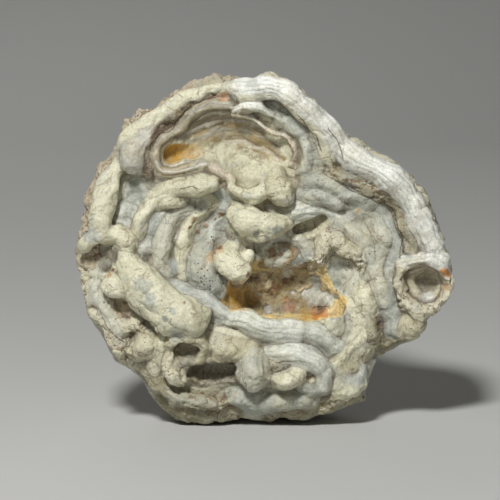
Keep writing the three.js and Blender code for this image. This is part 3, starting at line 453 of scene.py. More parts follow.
BACK_FOLDS = {
    "back_left": ("back", [(-21, 31, -5.4, 6.8), (-20.4, 35, -5.4, 7)]),
    "back_upper_left": ("back", [(-16.8, 41.6, -5.4, 7), (-13.4, 44.8, -5.4, 7)]),
    "back_top": ("back", [(-6, 47.2, -5.4, 7.4), (-1.6, 47, -5.4, 7.4)]),
    "back_upper_right": ("back", [(5.4, 42.6, -5.4, 7.4), (8.6, 39, -5.4, 7)]),
    "back_right": ("back", [(15.4, 34.8, -5.4, 7.2), (19, 30.4, -5.4, 7.2)]),
    "back_lower_right": ("back", [(20.6, 24.4, -5.4, 7), (18.6, 20, -5.4, 7)]),
    "back_lower_left": ("back", [(-20, 24, -5.4, 7.2), (-17.8, 19.4, -5.4, 7.4)]),
    "back_low": ("back", [(-11.6, 11, -6.2, 8.2), (-7.8, 8.9, -6.2, 8.4)]),
    "back_foot": ("back", [(0, 8.9, -6.2, 8.4), (4.6, 9.1, -6.2, 8.4)]),
    "back_foot_right": ("back", [(10, 12.8, -5.4, 6.8), (11.4, 15.4, -5.4, 6.8)]),
    "back_middle_left": ("back", [(-9, 33, -6.6, 8), (-5.4, 35.6, -6.6, 8)]),
    "back_middle_right": ("back", [(4.2, 31.8, -6.6, 8.2), (6.6, 28, -6.6, 8)]),
    "back_middle_low": ("back", [(-6.6, 22.8, -6.6, 8), (-2, 20.8, -6.6, 8)]),
    "back_middle_side": ("back", [(8.8, 20.4, -6.6, 7.6), (11.6, 23.2, -6.6, 7.4)]),
}

HOLLOWS = {
    "upper": ("cream", [
        (-11, 46, 7.4, 3.6), (-8.4, 46, 8, 5), (-5, 45, 8.7, 6.4), (-2, 44, 8.9, 6.6),
        (0.8, 43.4, 8.5, 5.4), (2.2, 43, 8, 4.4),
    ]),
    "upper_wall": ("translucent", [
        (-9.4, 47.2, 6, 2.2), (-6.6, 47.5, 5.7, 2.4), (-3.6, 46.9, 5.7, 2.4), (-1, 45.5, 5.9, 2.2),
    ]),
    "keyhole": ("amber", [(-14.8, 43.6, 5, 0.95), (-12, 44.2, 4.5, 1.2), (-9.4, 44.8, 4.8, 1.4)]),
    "upper_floor": ("cream", [(-4, 42.4, 6.4, 3.2), (-2.2, 40.8, 6.4, 2.8)]),
    "middle": ("sand", [
        (-3.8, 20.3, 4, 2.6), (-1.2, 21.2, 4.2, 4), (2, 21.8, 4, 5), (5.4, 21.6, 4, 5),
        (8.2, 20.8, 4.2, 4), (10, 19.2, 3.6, 2.4),
    ]),
    "middle_back": ("sand", [
        (-1.6, 20.6, 1.6, 2), (1.4, 20.2, 1, 2.4), (5, 20, 1, 2.4), (8, 19.4, 1.6, 2),
    ]),
    "right_pocket": ("grey_cream", [(12.3, 25, 3.5, 2), (11.9, 22.6, 3.3, 1.6)]),
    "shadow_pocket": ("olive_cream", [(5, 31.6, 3, 1), (7.4, 32.2, 2.8, 1.4), (8.8, 32.8, 3, 1.1)]),
    "eye": ("ringed", [(24.8, 22.7, 6.8, 3.3), (25.4, 22, 6.8, 3.3)]),
    "eye_depth": ("ringed", [(25.2, 23.1, 4.4, 1.6), (25.6, 22.5, 4.4, 1.6)]),
    "left_pit": ("brown_grey", [(-25.8, 27, 5.2, 1.5), (-24.6, 27.3, 5.2, 1.2)]),
    "ear": ("olive", [(-12.6, 11.6, 6.8, 1.5), (-12, 11.6, 6.8, 1.5)]),
    "under": ("brown_grey", [(-10.6, 8.9, 4.6, 1.4), (-8.2, 8.5, 4, 1.9), (-5.8, 8.5, 4.4, 1.5)]),
    "ripple": ("tan", [(-22.8, 19, 5.2, 1.1), (-22, 18.4, 5.2, 1.1)]),
    "under_rim": ("blue", [(-21.4, 37.9, 5.2, 1.1), (-20.8, 36.8, 5, 1.3)]),
    "brown_pocket": ("brown", [(18.4, 16.6, 3.8, 1), (18.5, 15.6, 3.6, 0.9)]),
}

FACE_FOLDS = {
    **RIM_FOLDS, **HOLLOW_FOLDS, **MIDDLE_FOLDS, **LOWER_LEFT_FOLDS, **BOTTOM_FOLDS, **RIGHT_FOLDS,
}

# These lips hang over the hollows, so they are added once the hollows are cut.
LIPS = (
    "banded_lip", "ledge", "lower_lip", "brim", "ragged_edge", "brow", "eye_ring", "drop",
    "upper_tongue", "lower_tongue", "tongue_corner", "main_sweep", "dome",
)

# And these hollows are cut into the lips.
LAST_HOLLOWS = ("eye", "eye_depth")

# A tone of the stone: its colour in sRGB, then its TONE_MARKS from 0 to 1: how blue and
# translucent, how striped along the fold, how warty, how speckled and how glossy it is.
TONES = {
    "white": ((234, 234, 224), 0.10, 0.80, 0.00, 0.10, 0.80),
    "cream": ((216, 213, 184), 0.05, 0.12, 0.12, 0.50, 0.35),
    "cream_pitted": ((207, 201, 173), 0.03, 0.25, 0.70, 0.80, 0.15),
    "crumbly": ((218, 205, 172), 0.00, 0.00, 1.00, 1.00, 0.30),
    "olive_cream": ((193, 187, 156), 0.03, 0.12, 0.25, 0.70, 0.20),
    "olive": ((150, 143, 113), 0.00, 0.30, 0.55, 0.70, 0.10),
    "wall": ((184, 168, 142), 0.00, 0.70, 1.00, 0.80, 0.05),
    "pink": ((201, 181, 152), 0.05, 0.50, 0.20, 0.30, 0.30),
    "tan": ((160, 134, 98), 0.10, 0.20, 0.50, 1.00, 0.25),
    "brown": ((104, 84, 62), 0.05, 0.40, 0.80, 0.40, 0.25),
    "banded": ((158, 146, 118), 0.10, 1.00, 0.00, 0.10, 0.60),
    "translucent": ((166, 146, 102), 0.05, 0.80, 0.05, 0.30, 0.50),
    "amber": ((208, 164, 70), 0.05, 0.15, 0.10, 0.50, 0.70),
    "peach": ((202, 172, 132), 0.00, 0.10, 0.20, 0.60, 0.40),
    "stained": ((212, 138, 60), 0.00, 0.20, 0.20, 0.60, 0.50),
    "rusty": ((140, 88, 42), 0.00, 0.10, 0.50, 1.00, 0.40),
    "sand": ((236, 206, 132), 0.03, 0.15, 0.25, 1.00, 0.50),
    "ringed": ((205, 184, 156), 0.03, 0.80, 0.05, 0.30, 0.50),
    "grey": ((176, 179, 166), 0.45, 0.10, 0.08, 0.60, 0.40),
    "grey_cream": ((194, 193, 174), 0.20, 0.25, 0.15, 0.70, 0.35),
    "spotted": ((178, 182, 172), 0.45, 0.00, 0.08, 1.00, 0.40),
    "spot": ((138, 142, 128), 0.10, 0.00, 0.00, 0.10, 0.40),
    "blue": ((184, 187, 176), 0.55, 0.15, 0.00, 0.25, 0.62),
    "blue_white": ((210, 212, 198), 0.30, 0.60, 0.00, 0.20, 0.75),
    "dark_blue": ((146, 151, 143), 0.70, 0.10, 0.00, 0.20, 0.60),
    "glassy": ((184, 180, 164), 0.35, 0.20, 0.00, 0.15, 0.90),
    "brown_grey": ((108, 100, 82), 0.05, 0.05, 0.50, 0.60, 0.20),
    "back": ((190, 182, 156), 0.05, 0.50, 0.90, 0.70, 0.10),
}

# Patches of the face that are coloured otherwise: a tone, then the middles of its patches and how
# far each reaches. A later patch lies over an earlier one.
PATCHES = [
    ("spot", [
        (-4.5, 30.6, 0.6), (-3, 29.9, 0.5), (-15.8, 17.2, 0.6), (-10.2, 24.4, 0.4),
        (-9.1, 22.6, 0.4), (-11.1, 25.8, 0.35), (-8.4, 23.7, 0.3), (-9.6, 23.5, 0.3),
        (-10.6, 25, 0.3), (-9.4, 24.9, 0.25), (-12.2, 42.6, 0.3), (3.9, 39.6, 0.4),
        (4.8, 41.8, 0.3), (12.6, 31, 0.5),
    ]),
    ("rusty", [
        (2, 22, 0.8), (3.4, 23, 0.6), (0.6, 24, 0.5), (4.6, 23.6, 0.5), (-8.8, 34.6, 0.3),
        (-9.4, 32.4, 0.4), (-24.2, 25.2, 0.3), (-24.6, 24.4, 0.3), (-12.7, 20, 0.25),
        (24.5, 23.3, 0.3),
    ]),
    ("peach", [(-7.2, 28.2, 0.9), (-22.4, 18.6, 1), (-24.8, 24.4, 0.7), (14.8, 34.6, 0.5)]),
    ("amber", [(-4.1, 20.4, 2.6), (-1.6, 21, 1.7), (-14.2, 43.8, 1.5)]),
    ("rusty", [
        (-1.4, 23.5, 0.8), (1.2, 21, 0.4), (-0.3, 22.4, 0.4), (-2.6, 24.3, 0.5), (0.4, 19.5, 0.3),
        (-7, 28.5, 0.3), (-7.7, 27.7, 0.3), (-22.8, 19, 0.4),
    ]),
    ("white", [(-1, 21, 0.5), (4.6, 21.3, 0.5), (0.6, 18.6, 0.8), (25.6, 20.7, 1.5)]),
    ("stained", [(3.9, 19.4, 1.3), (8.6, 18.1, 1.5), (-6.3, 53, 1), (28.6, 24.8, 1)]),
    ("banded", [(-12.8, 47, 1.8), (-11, 48.6, 2), (-8.6, 49.8, 2), (-5.6, 49.9, 2)]),
    ("tan", [(-4.6, 22.8, 0.9), (-11.3, 33, 0.7), (-7, 34, 0.7)]),
    ("grey", [(-19.3, 22.5, 1.6), (-14.6, 18.6, 0.9), (-13.6, 14.2, 1.1), (-10, 35.5, 1.2)]),
    ("blue_white", [(9.6, 20.4, 1.6), (5, 36, 1.2), (1, 51.5, 1.6)]),
    ("rusty", [(-10.5, 31.5, 0.4), (-11.8, 32, 0.3), (-7.9, 33.2, 0.3)]),
    ("grey_cream", [(1.6, 27, 2.4), (24.8, 22.9, 1.2)]),
    ("spot", [
        (11.8, 22.8, 0.8), (-1.3, 30.4, 0.8), (2, 31.3, 0.8), (0.4, 29.9, 0.5), (-18.1, 20.3, 0.7),
    ]),
    ("blue", [(6.2, 27.4, 1.2), (-27.5, 30.3, 1.6)]),
    ("peach", [(-8.5, 27, 0.8), (28.4, 22.4, 0.7)]),
    ("banded", [(-3, 49.2, 1.8), (-0.6, 47.8, 1.5)]),
    ("translucent", [
        (-9.8, 46.6, 1.8), (-7.6, 47.1, 2.2), (-5.4, 47.1, 2.3), (-3.2, 46.7, 2.3), (-1, 45.8, 2.1),
        (0.8, 44.7, 1.9), (2.2, 43.4, 1.4),
    ]),
    ("amber", [(6.4, 17.8, 1.2)]),
    ("blue_white", [(8, 20.6, 2)]),
    ("white", [(6.3, 21, 0.8)]),
    ("grey", [(8.3, 22.9, 1.4), (-17.8, 20.3, 1.3)]),
    ("crumbly", [(8.8, 26.6, 1.7), (7.8, 25.4, 1.1)]),
    ("spot", [(12.1, 25.4, 0.9), (11.2, 20.8, 0.6)]),
    ("brown_grey", [(8.8, 18.8, 0.5)]),
    ("tan", [(1.2, 27.6, 1)]),
    ("rusty", [(2.6, 27.4, 0.4), (3.4, 26.2, 0.3)]),
    ("white", [(3.7, 24.6, 1.2)]),
    ("dark_blue", [(5.2, 26.4, 0.9)]),
]

# Cracks, each a line of places on the face.
CRACKS = [
    [(7.6, 18.7), (8.8, 18.9), (10, 18.8)],
    [(5, 49.5), (6.5, 47.8), (8, 46), (8.8, 44)],
    [(9.8, 47.5), (11, 45.6), (12.4, 42.8)],
    [(-11.2, 51.3), (-13, 50), (-14, 49), (-15, 47.1), (-16.5, 46.4), (-18, 44.5)],
    [(13, 38.1), (15, 37.1), (18.5, 36.2), (20.2, 33.8), (21.7, 30), (21.4, 26.8)],
    [(-20.9, 19.9), (-19.2, 17.5), (-17.5, 16.2), (-15.4, 14.3)],
    [(-13, 37.7), (-11.7, 38.2), (-10.5, 37.9)],
    [(-25.6, 16.9), (-23.9, 14.9), (-22, 13.1)],
    [(2, 10.4), (4.2, 10.6), (6.5, 10.2)],
]


def linear(colour):
    """An sRGB colour of 0 to 255 as linear values of 0 to 1."""
    share = np.array(colour) / 255
    return np.where(share <= 0.04045, share / 12.92, ((share + 0.055) / 1.055) ** 2.4)


def tone_values(name):
    colour, *rest = TONES[name]
    return np.array([*linear(colour), *rest], dtype=np.float32)


def curve_points(points, step):
    """Places along a smooth curve through the points, with their radii."""
    points = np.array(points, dtype=float)
    padded = np.vstack([2 * points[0] - points[1], points, 2 * points[-1] - points[-2]])
    places = []
    for before, start, end, after in zip(padded, padded[1:], padded[2:], padded[3:]):
        count = max(int(np.linalg.norm(end[:3] - start[:3]) / step), 1)
        t = np.arange(count)[:, None] / count
        places.append(0.5 * (
            2 * start + (end - before) * t
            + (2 * before - 5 * start + 4 * end - after) * t ** 2
            + (3 * start - before - 3 * end + after) * t ** 3
        ))
    return np.vstack([*places, points[-1:]])


def outline_distance(u, v):
    """How far places on the face are from the outline: less than nothing inside it."""
    nearest = np.full(u.shape, np.inf)
    inside = np.zeros(u.shape, dtype=bool)
    for (u0, v0), (u1, v1) in zip(OUTLINE, OUTLINE[1:] + OUTLINE[:1]):
        du, dv = u1 - u0, v1 - v0
        along = np.clip(((u - u0) * du + (v - v0) * dv) / (du * du + dv * dv), 0, 1)
        nearest = np.minimum(nearest, np.hypot(u - u0 - along * du, v - v0 - along * dv))
        crosses = (v0 > v) != (v1 > v)
        side = u0 + (v - v0) * du / (dv if dv else 1e-9)
        inside ^= crosses & (u < side)
    return np.where(inside, -nearest, nearest)


def balls_of(points):
    """A fold as a row of balls along a curve. None reaches past the outline."""
    balls = curve_points(points, BALL_STEP)
    room = -outline_distance(balls[:, 0], balls[:, 1])
    balls[:, 3] = np.minimum(balls[:, 3], np.maximum(room, LEAST_RADIUS))
    return balls


def soft_union(a, b, fillet):
    """The distance to two shapes joined with a fillet between them."""
    mix = np.clip(0.5 + 0.5 * (a - b) / fillet, 0, 1)
    return a + (b - a) * mix - fillet * mix * (1 - mix)


class Grid:
    """A block of cells in the face's frame, with the distance to the stone's surface at each corner."""

    def __init__(self):
        ends = zip(GRID_LOW, GRID_HIGH)
        self.axes = [np.arange(low, high, CELL, dtype=np.float32) for low, high in ends]
        self.distance = np.full([len(axis) for axis in self.axes], FAR, dtype=np.float32)

    def near(self, balls):
        """The part of the grid that some balls can change, as slices."""
        slices = []
        for axis, places in enumerate(self.axes):
            low = (balls[:, axis] - balls[:, 3]).min() - MARGIN
            high = (balls[:, axis] + balls[:, 3]).max() + MARGIN
            slices.append(slice(*np.searchsorted(places, (low, high))))
        return tuple(slices)

    def to_balls(self, balls, where):
        axes = [axis[part] for axis, part in zip(self.axes, where)]
        u, v, w = np.meshgrid(*axes, indexing="ij", sparse=True)
        nearest = np.full(np.broadcast(u, v, w).shape, FAR, dtype=np.float32)
        for bu, bv, bw, radius in balls.astype(np.float32):
            reach = radius + MARGIN
            parts = [
                slice(*np.searchsorted(axis, (middle - reach, middle + reach)))
                for axis, middle in zip(axes, (bu, bv, bw))
            ]
            gap = np.sqrt(
                (u[parts[0]] - bu) ** 2 + (v[:, parts[1]] - bv) ** 2 + (w[:, :, parts[2]] - bw) ** 2
            ) - radius
            local = nearest[tuple(parts)]
            np.minimum(local, gap, out=local)
        return nearest

    def add(self, balls, fillet):
        where = self.near(balls)
        self.distance[where] = soft_union(self.distance[where], self.to_balls(balls, where), fillet)

    def cut(self, balls, fillet):
        where = self.near(balls)
        self.distance[where] = -soft_union(-self.distance[where], self.to_balls(balls, where), fillet)


def bed_levels(u, v, balls):
    """How far forward the bed lies: a little under the folds around each place."""
    total = np.zeros(u.shape, dtype=np.float32)
    weights = np.full(u.shape, 1e-12, dtype=np.float32)
    for bu, bv, bw, radius in balls[::BED_STRIDE].astype(np.float32):
        weight = np.exp(-((u - bu) ** 2 + (v - bv) ** 2) / (2 * BED_SPREAD ** 2))
        total += weight * (bw - BED_DROP * radius)
        weights += weight
    return total / weights


def body_distance(grid, balls):
    """The thick disc under the folds: its face is their bed, and its edge is rounded."""
    u, v = np.meshgrid(grid.axes[0], grid.axes[1], indexing="ij")
    outside = outline_distance(u, v).astype(np.float32)[:, :, None]
    front = (bed_levels(u, v, balls) - WIDEST_LEVEL)[:, :, None]
    w = grid.axes[2][None, None, :] - WIDEST_LEVEL
    edge = np.where(w > 0, EDGE_WIDTH, BACK_EDGE_WIDTH).astype(np.float32)
    outward = np.maximum((edge + outside) / edge, 0)
    half = np.where(w > 0, np.maximum(front, 1), WIDEST_LEVEL - BACK_LEVEL)
    forward = np.abs(w) / half
    size = (outward ** SQUARENESS + forward ** SQUARENESS) ** (1 / SQUARENESS)
    scale = (outward * edge + forward * half) / (outward + forward + 1e-6)
    return ((size - 1) * scale).astype(np.float32)


def height(u, v, w):
    """Height over the ground of a place in the face's frame, before the foot is set down."""
    return w * math.sin(LEAN) + v * math.cos(LEAN)


def solid_grid(folds, hollows):
    grid = Grid()
    face_balls = np.vstack([folds[name] for name in FACE_FOLDS])
    grid.distance = body_distance(grid, face_balls)
    for name, balls in folds.items():
        wide = name in RIM_FOLDS or name in BOTTOM_FOLDS
        grid.add(balls, RIM_FILLET if wide else FOLD_FILLET)
    for balls in hollows.values():
        grid.cut(balls, HOLLOW_FILLET)
    for name in LIPS:
        grid.add(folds[name], LIP_FILLET)
    for name in LAST_HOLLOWS:
        grid.cut(hollows[name], HOLLOW_FILLET)
    heights = height(
        grid.axes[0][:, None, None], grid.axes[1][None, :, None], grid.axes[2][None, None, :]
    ) + 0 * grid.distance
    ground = heights[grid.distance < 0].min() + FOOT_CUT
    grid.distance = np.maximum(grid.distance, ground - heights)
    return grid


def surface_net(grid):
    """Corners and four-sided facets of the surface where the grid's distance is nothing."""
    field = grid.distance
    inside = field < 0
    count = np.zeros(tuple(n - 1 for n in field.shape), dtype=np.int8)
    offsets = [(a, b, c) for a in (0, 1) for b in (0, 1) for c in (0, 1)]
    for a, b, c in offsets:
        count += inside[a:a + count.shape[0], b:b + count.shape[1], c:c + count.shape[2]]
    cells = np.argwhere((count > 0) & (count < 8))
    index = np.full(count.shape, -1, dtype=np.int32)
    index[tuple(cells.T)] = np.arange(len(cells))

    total = np.zeros((len(cells), 3))
    hits = np.zeros(len(cells))
    for i, first in enumerate(offsets):
        for second in offsets[i + 1:]:
            step = np.subtract(second, first)
            if np.abs(step).sum() != 1:
                continue
            start = field[tuple((cells + first).T)]
            end = field[tuple((cells + second).T)]
            crosses = (start < 0) != (end < 0)
            share = np.where(crosses, start / np.where(crosses, start - end, 1), 0)
            total += np.where(crosses[:, None], np.array(first) + share[:, None] * step, 0)
            hits += crosses
    places = (cells + total / hits[:, None]) * CELL + np.array(GRID_LOW)

    facets = []
    for axis in range(3):
        one, two = [other for other in range(3) if other != axis]
        low = [slice(None)] * 3
        high = [slice(None)] * 3
        low[axis] = slice(None, -1)
        high[axis] = slice(1, None)
        crossing = inside[tuple(low)] != inside[tuple(high)]
        edges = np.argwhere(crossing)
        edges = edges[(edges[:, one] > 0) & (edges[:, two] > 0)]
        edges = edges[(edges[:, one] < index.shape[one]) & (edges[:, two] < index.shape[two])]
        around = []
        for back_one, back_two in ((0, 0), (1, 0), (1, 1), (0, 1)):
            cell = edges.copy()
            cell[:, one] -= back_one
            cell[:, two] -= back_two
            around.append(index[tuple(cell.T)])
        quads = np.stack(around, axis=1)
        outward = inside[tuple(edges.T)] == (axis != 1)
        quads[~outward] = quads[~outward][:, ::-1]
        facets.append(quads)
    return places, np.vstack(facets)


def largest_piece(places, facets):
    """The connected surface with the most corners, without bubbles or crumbs."""
    label = np.arange(len(places))
    while True:
        lowest = label[facets].min(axis=1)
        new = label.copy()
        for corner in range(4):
            np.minimum.at(new, facets[:, corner], lowest)
        new = new[new]
        if np.array_equal(new, label):
            break
        label = new
    best = np.bincount(label).argmax()
    keep = label == best
    renumber = np.cumsum(keep) - 1
    return places[keep], renumber[facets[keep[facets[:, 0]]]]


def smoothed(places, facets, rounds, share):
    """Moves each corner part of the way to the middle of its neighbours."""
    edges = np.vstack([facets[:, [i, (i + 1) % 4]] for i in range(4)])
    degree = np.bincount(edges.ravel(), minlength=len(places))[:, None]
    for _ in range(rounds):
        total = np.zeros_like(places)
        for axis in range(3):
            total[:, axis] = np.bincount(edges[:, 0], places[edges[:, 1], axis], len(places))
            total[:, axis] += np.bincount(edges[:, 1], places[edges[:, 0], axis], len(places))
        places = places + share * (total / degree - places)
    return places


def corner_normals(places, facets):
    first, second, third, fourth = [places[facets[:, corner]] for corner in range(4)]
    across = np.cross(third - first, fourth - second)
    normals = np.zeros_like(places)
    for corner in range(4):
        for axis in range(3):
            normals[:, axis] += np.bincount(facets[:, corner], across[:, axis], len(places))
    return normals / np.maximum(np.linalg.norm(normals, axis=1), 1e-9)[:, None]


class Skin:
    """What each corner of the surface is made of, from the folds and hollows nearest to it."""

    REACH = 1.4
    BLEND = 0.12  # over which the tones of two folds mix

    def __init__(self, places):
        self.places = places
        count = len(places)
        self.nearest = np.full(count, self.REACH)
        self.second = np.full(count, self.REACH)
        self.band = np.zeros(count)
        self.tone = 1e-4 * tone_values("grey_cream") * np.ones((count, 1))
        self.weight = np.full(count, 1e-4)

    def mark(self, name):
        """One of the marks of the tone at each corner."""
        return self.tone[:, 3 + TONE_MARKS.index(name)]

    def take(self, balls, tone, band_of, sign=1):
        low = (balls[:, :3] - balls[:, 3:]).min(axis=0) - self.REACH
        high = (balls[:, :3] + balls[:, 3:]).max(axis=0) + self.REACH
        near = np.flatnonzero(((self.places > low) & (self.places < high)).all(axis=1))
        gap = np.full(len(near), np.inf)
        ball = np.zeros(len(near), dtype=int)
        for i, (middle, radius) in enumerate(zip(balls[:, :3], balls[:, 3])):
            away = np.linalg.norm(self.places[near] - middle, axis=1) - radius
            closer = away < gap
            gap[closer] = away[closer]
            ball[closer] = i
        gap = np.abs(gap) if sign < 0 else np.maximum(gap, 0)
        near, gap, ball = near[gap < self.REACH], gap[gap < self.REACH], ball[gap < self.REACH]
        weight = np.exp(-gap / self.BLEND)
        self.tone[near] += weight[:, None] * tone_values(tone)
        self.weight[near] += weight
        wins = gap < self.nearest[near]
        self.second[near] = np.where(wins, self.nearest[near], np.minimum(self.second[near], gap))
        self.nearest[near[wins]] = gap[wins]
        self.band[near[wins]] = band_of(self.places[near[wins]], balls, ball[wins])


def across_fold(places, balls, ball):
    """How far a place is to the side of its fold's spine, along the face."""
    ahead = np.gradient(balls[:, :2], axis=0)
    ahead /= np.maximum(np.linalg.norm(ahead, axis=1), 1e-9)[:, None]
    aside = places[:, :2] - balls[ball, :2]
    return aside[:, 0] * ahead[ball, 1] - aside[:, 1] * ahead[ball, 0]


def down_wall(places, balls, ball):
    """How far down the wall of a hollow a place is, so that its bands run level with the lip."""
    return places[:, 2] + BAND_TILT * places[:, 1]


def noise_values(places, size, octaves, seed):
    shift = Vector((seed * 17.3, seed * 5.1, seed * 9.7))
    return np.array([
        noise.fractal(Vector(place) / size + shift, 1.0, 2.0, octaves) for place in places
    ])


def cell_values(places, size, seed, count=1):
    """Distances to the nearest of some scattered points, in cells of a size."""
    shift = Vector((seed * 11.9, seed * 3.7, seed * 7.3))
    found = np.array([noise.voronoi(Vector(place) / size + shift)[0][:count] for place in places])
    return found[:, 0] if count == 1 else found.T


def line_sides(u, v, lines):
    """The distance to the nearest line, and the same with a sign for the side it is on."""
    nearest = np.full(u.shape, OFF_LINES)
    signed = np.full(u.shape, OFF_LINES)
    for line in lines:
        points = curve_points([(*place, 0, 1) for place in line], LINE_STEP)
        for (u0, v0), (u1, v1) in zip(points[:-1, :2], points[1:, :2]):
            du, dv = u1 - u0, v1 - v0
            length = max(math.hypot(du, dv), 1e-6)
            along = np.clip(((u - u0) * du + (v - v0) * dv) / length ** 2, 0, 1)
            gap = np.hypot(u - u0 - along * du, v - v0 - along * dv)
            side = ((u - u0) * dv - (v - v0) * du) / length
            wins = gap < nearest
            nearest[wins] = gap[wins]
            signed[wins] = np.where(side[wins] < 0, -gap[wins], gap[wins])
    return nearest, signed


def smooth_step(value, low, high):
    share = np.clip((value - low) / (high - low), 0, 1)
    return share * share * (3 - 2 * share)


def patched(skin, normals):
    """Mixes the patches into the tones, with ragged edges, on what faces forward."""
    u, v, w = skin.places.T
    ragged = RAGGED_SHARE * noise_values(skin.places, RAGGED_SIZE, 4, seed=4)
    front = (w > WIDEST_LEVEL) & (normals[:, 2] > -0.2)
    for tone, patches in PATCHES:
        for middle_u, middle_v, reach in patches:
            away = np.hypot(u - middle_u, v - middle_v) / reach + min(reach, 1.2) * ragged
            share = np.where(front, 1 - smooth_step(away, 0.6, 1.0), 0)[:, None]
            skin.tone = skin.tone * (1 - share) + tone_values(tone) * share


def object_places(places):
    """Places of the face's frame leaned back and fitted to the CAD part's box, in metres."""
    u, v, w = places.T
    turned = np.stack([u, -w * math.cos(LEAN) + v * math.sin(LEAN), height(u, v, w)], axis=1)
    low, high = [np.array(corner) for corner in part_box(NODE)]
    own_low = turned.min(axis=0)
    own_size = turned.max(axis=0) - own_low
    return low + (turned - own_low) / own_size * (high - low)


def dressed_skin(places, normals, folds, hollows):
    """The skin with its tones, its bands and its patches."""
    skin = Skin(places)
    for name, (tone, _) in {**FACE_FOLDS, **BACK_FOLDS}.items():
        skin.take(folds[name], tone, across_fold)
    for name, (tone, _) in HOLLOWS.items():
        skin.take(hollows[name], tone, down_wall, sign=-1)
    skin.tone /= skin.weight[:, None]
    patched(skin, normals)
    return skin


def sunken(places, facets, normals, rounds):
    """How far each corner lies under the smoothed surface: less than nothing on what stands out."""
    return ((smoothed(places, facets, rounds, EASING) - places) * normals).sum(axis=1)


def wandering(places, size, reach, seeds):
    """A shift by noise for each place, with a seed for each axis."""
    return reach * np.stack([noise_values(places, size, 2, seed) for seed in seeds], axis=1)


def relief(places, bent, lump, skin):
    """How far the fine surface stands out of the smooth one."""
    warty = skin.mark("warty")
    roughness = LEAST_ROUGH + (1 - LEAST_ROUGH) * np.clip(warty * 1.4, 0, 1)
    warts = WART_HEIGHT * warty * (0.5 - cell_values(places, WART_SIZE, seed=1))
    lumps = LUMP_HEIGHT * (LUMP_CROWN - lump ** 2)
    lumps += SMALL_LUMP_HEIGHT * (LUMP_CROWN - cell_values(bent, SMALL_LUMP_SIZE, seed=3) ** 2)
    wrinkles = 1 - np.abs(noise_values(bent, WRINKLE_SIZE, 2, seed=8)) / WRINKLE_SHARE
    wrinkles = np.maximum(wrinkles, 0) * (WRINKLE_DEPTH + ROUGH_WRINKLE_DEPTH * roughness)
    ridges = RIDGE_HEIGHT * skin.mark("striped") * np.sin(skin.band * math.tau / GROWTH_STEP)
    swells = SWELL_HEIGHT * noise_values(places, SWELL_SIZE, 2, seed=11)
    return warts + lumps * roughness - wrinkles + ridges + swells


def make_stone():
    """The three pieces of the skin."""
    folds = {name: balls_of(points) for name, (_, points) in {**FACE_FOLDS, **BACK_FOLDS}.items()}
    hollows = {name: curve_points(points, BALL_STEP) for name, (_, points) in HOLLOWS.items()}
    smooth, facets = largest_piece(*surface_net(solid_grid(folds, hollows)))
    smooth = smoothed(smooth, facets, 2, 0.5)
    normals = corner_normals(smooth, facets)
    skin = dressed_skin(smooth, normals, folds, hollows)

    bent = smooth + wandering(smooth, BEND_SIZE, BEND_REACH, seeds=(5, 6, 7))
    lump, next_lump = cell_values(bent, LUMP_SIZE, seed=2, count=2)
    places = smooth + normals * relief(smooth, bent, lump, skin)[:, None]
    places[:, :2] += wandering(places, DRIFT_SIZE, DRIFT_REACH, seeds=(9, 10))

    near, side = line_sides(*((bent + places) / 2)[:, :2].T, CRACKS)
    marks = {
        **{name: skin.mark(name) for name in TONE_MARKS},
        "tint": skin.tone[:, :3],
        "band": skin.band,
        "gap": skin.second - skin.nearest,
        "cavity": sunken(smooth, facets, normals, CAVITY_ROUNDS),
        "hollow": sunken(smooth, facets, normals, HOLLOW_ROUNDS),
        "lump_gap": next_lump - lump,
        "crack_near": np.where(normals[:, 2] > -0.3, near, OFF_LINES),
        "crack_side": side,
    }
    return skin_pieces(places, facets, marks)


def skin_pieces(places, facets, marks):
    """The skin in three parts, as one mesh would be too large."""
    placed = object_places(places)
    normals = corner_normals(placed, facets)
    middles = places[facets].mean(axis=1)
    behind = middles[:, 2] < SEAM_LEVEL
    parts = {
        "stone_back": behind,
        "stone_face_left": ~behind & (middles[:, 0] < SEAM_ACROSS),
        "stone_face_right": ~behind & (middles[:, 0] >= SEAM_ACROSS),
    }
    return [make_piece(name, placed, facets[chosen], normals, marks) for name, chosen in parts.items()]


def make_piece(name, places, facets, normals, marks):
    """One part of the skin, which meets the others at shared corners with shared normals."""
    used, facets = np.unique(facets, return_inverse=True)
    facets = facets.reshape(-1, 4)
    mesh = bpy.data.meshes.new(name)
    mesh.from_pydata(places[used].tolist(), [], facets.tolist())
    mesh.polygons.foreach_set("use_smooth", [True] * len(facets))
    for mark, values in marks.items():
        write_attribute(mesh, mark, values[used])
    mesh.normals_split_custom_set_from_vertices(normals[used].tolist())
    mesh.update()
    return linked(bpy.data.objects.new(name, mesh))


def write_attribute(mesh, name, values):
    kind = "FLOAT" if values.ndim == 1 else "FLOAT_VECTOR"
    attribute = mesh.attributes.new(name, kind, "POINT")
    field = "value" if values.ndim == 1 else "vector"
    attribute.data.foreach_set(field, np.ascontiguousarray(values, dtype=np.float32).ravel())


def linked(item):
    bpy.context.collection.objects.link(item)
    return item


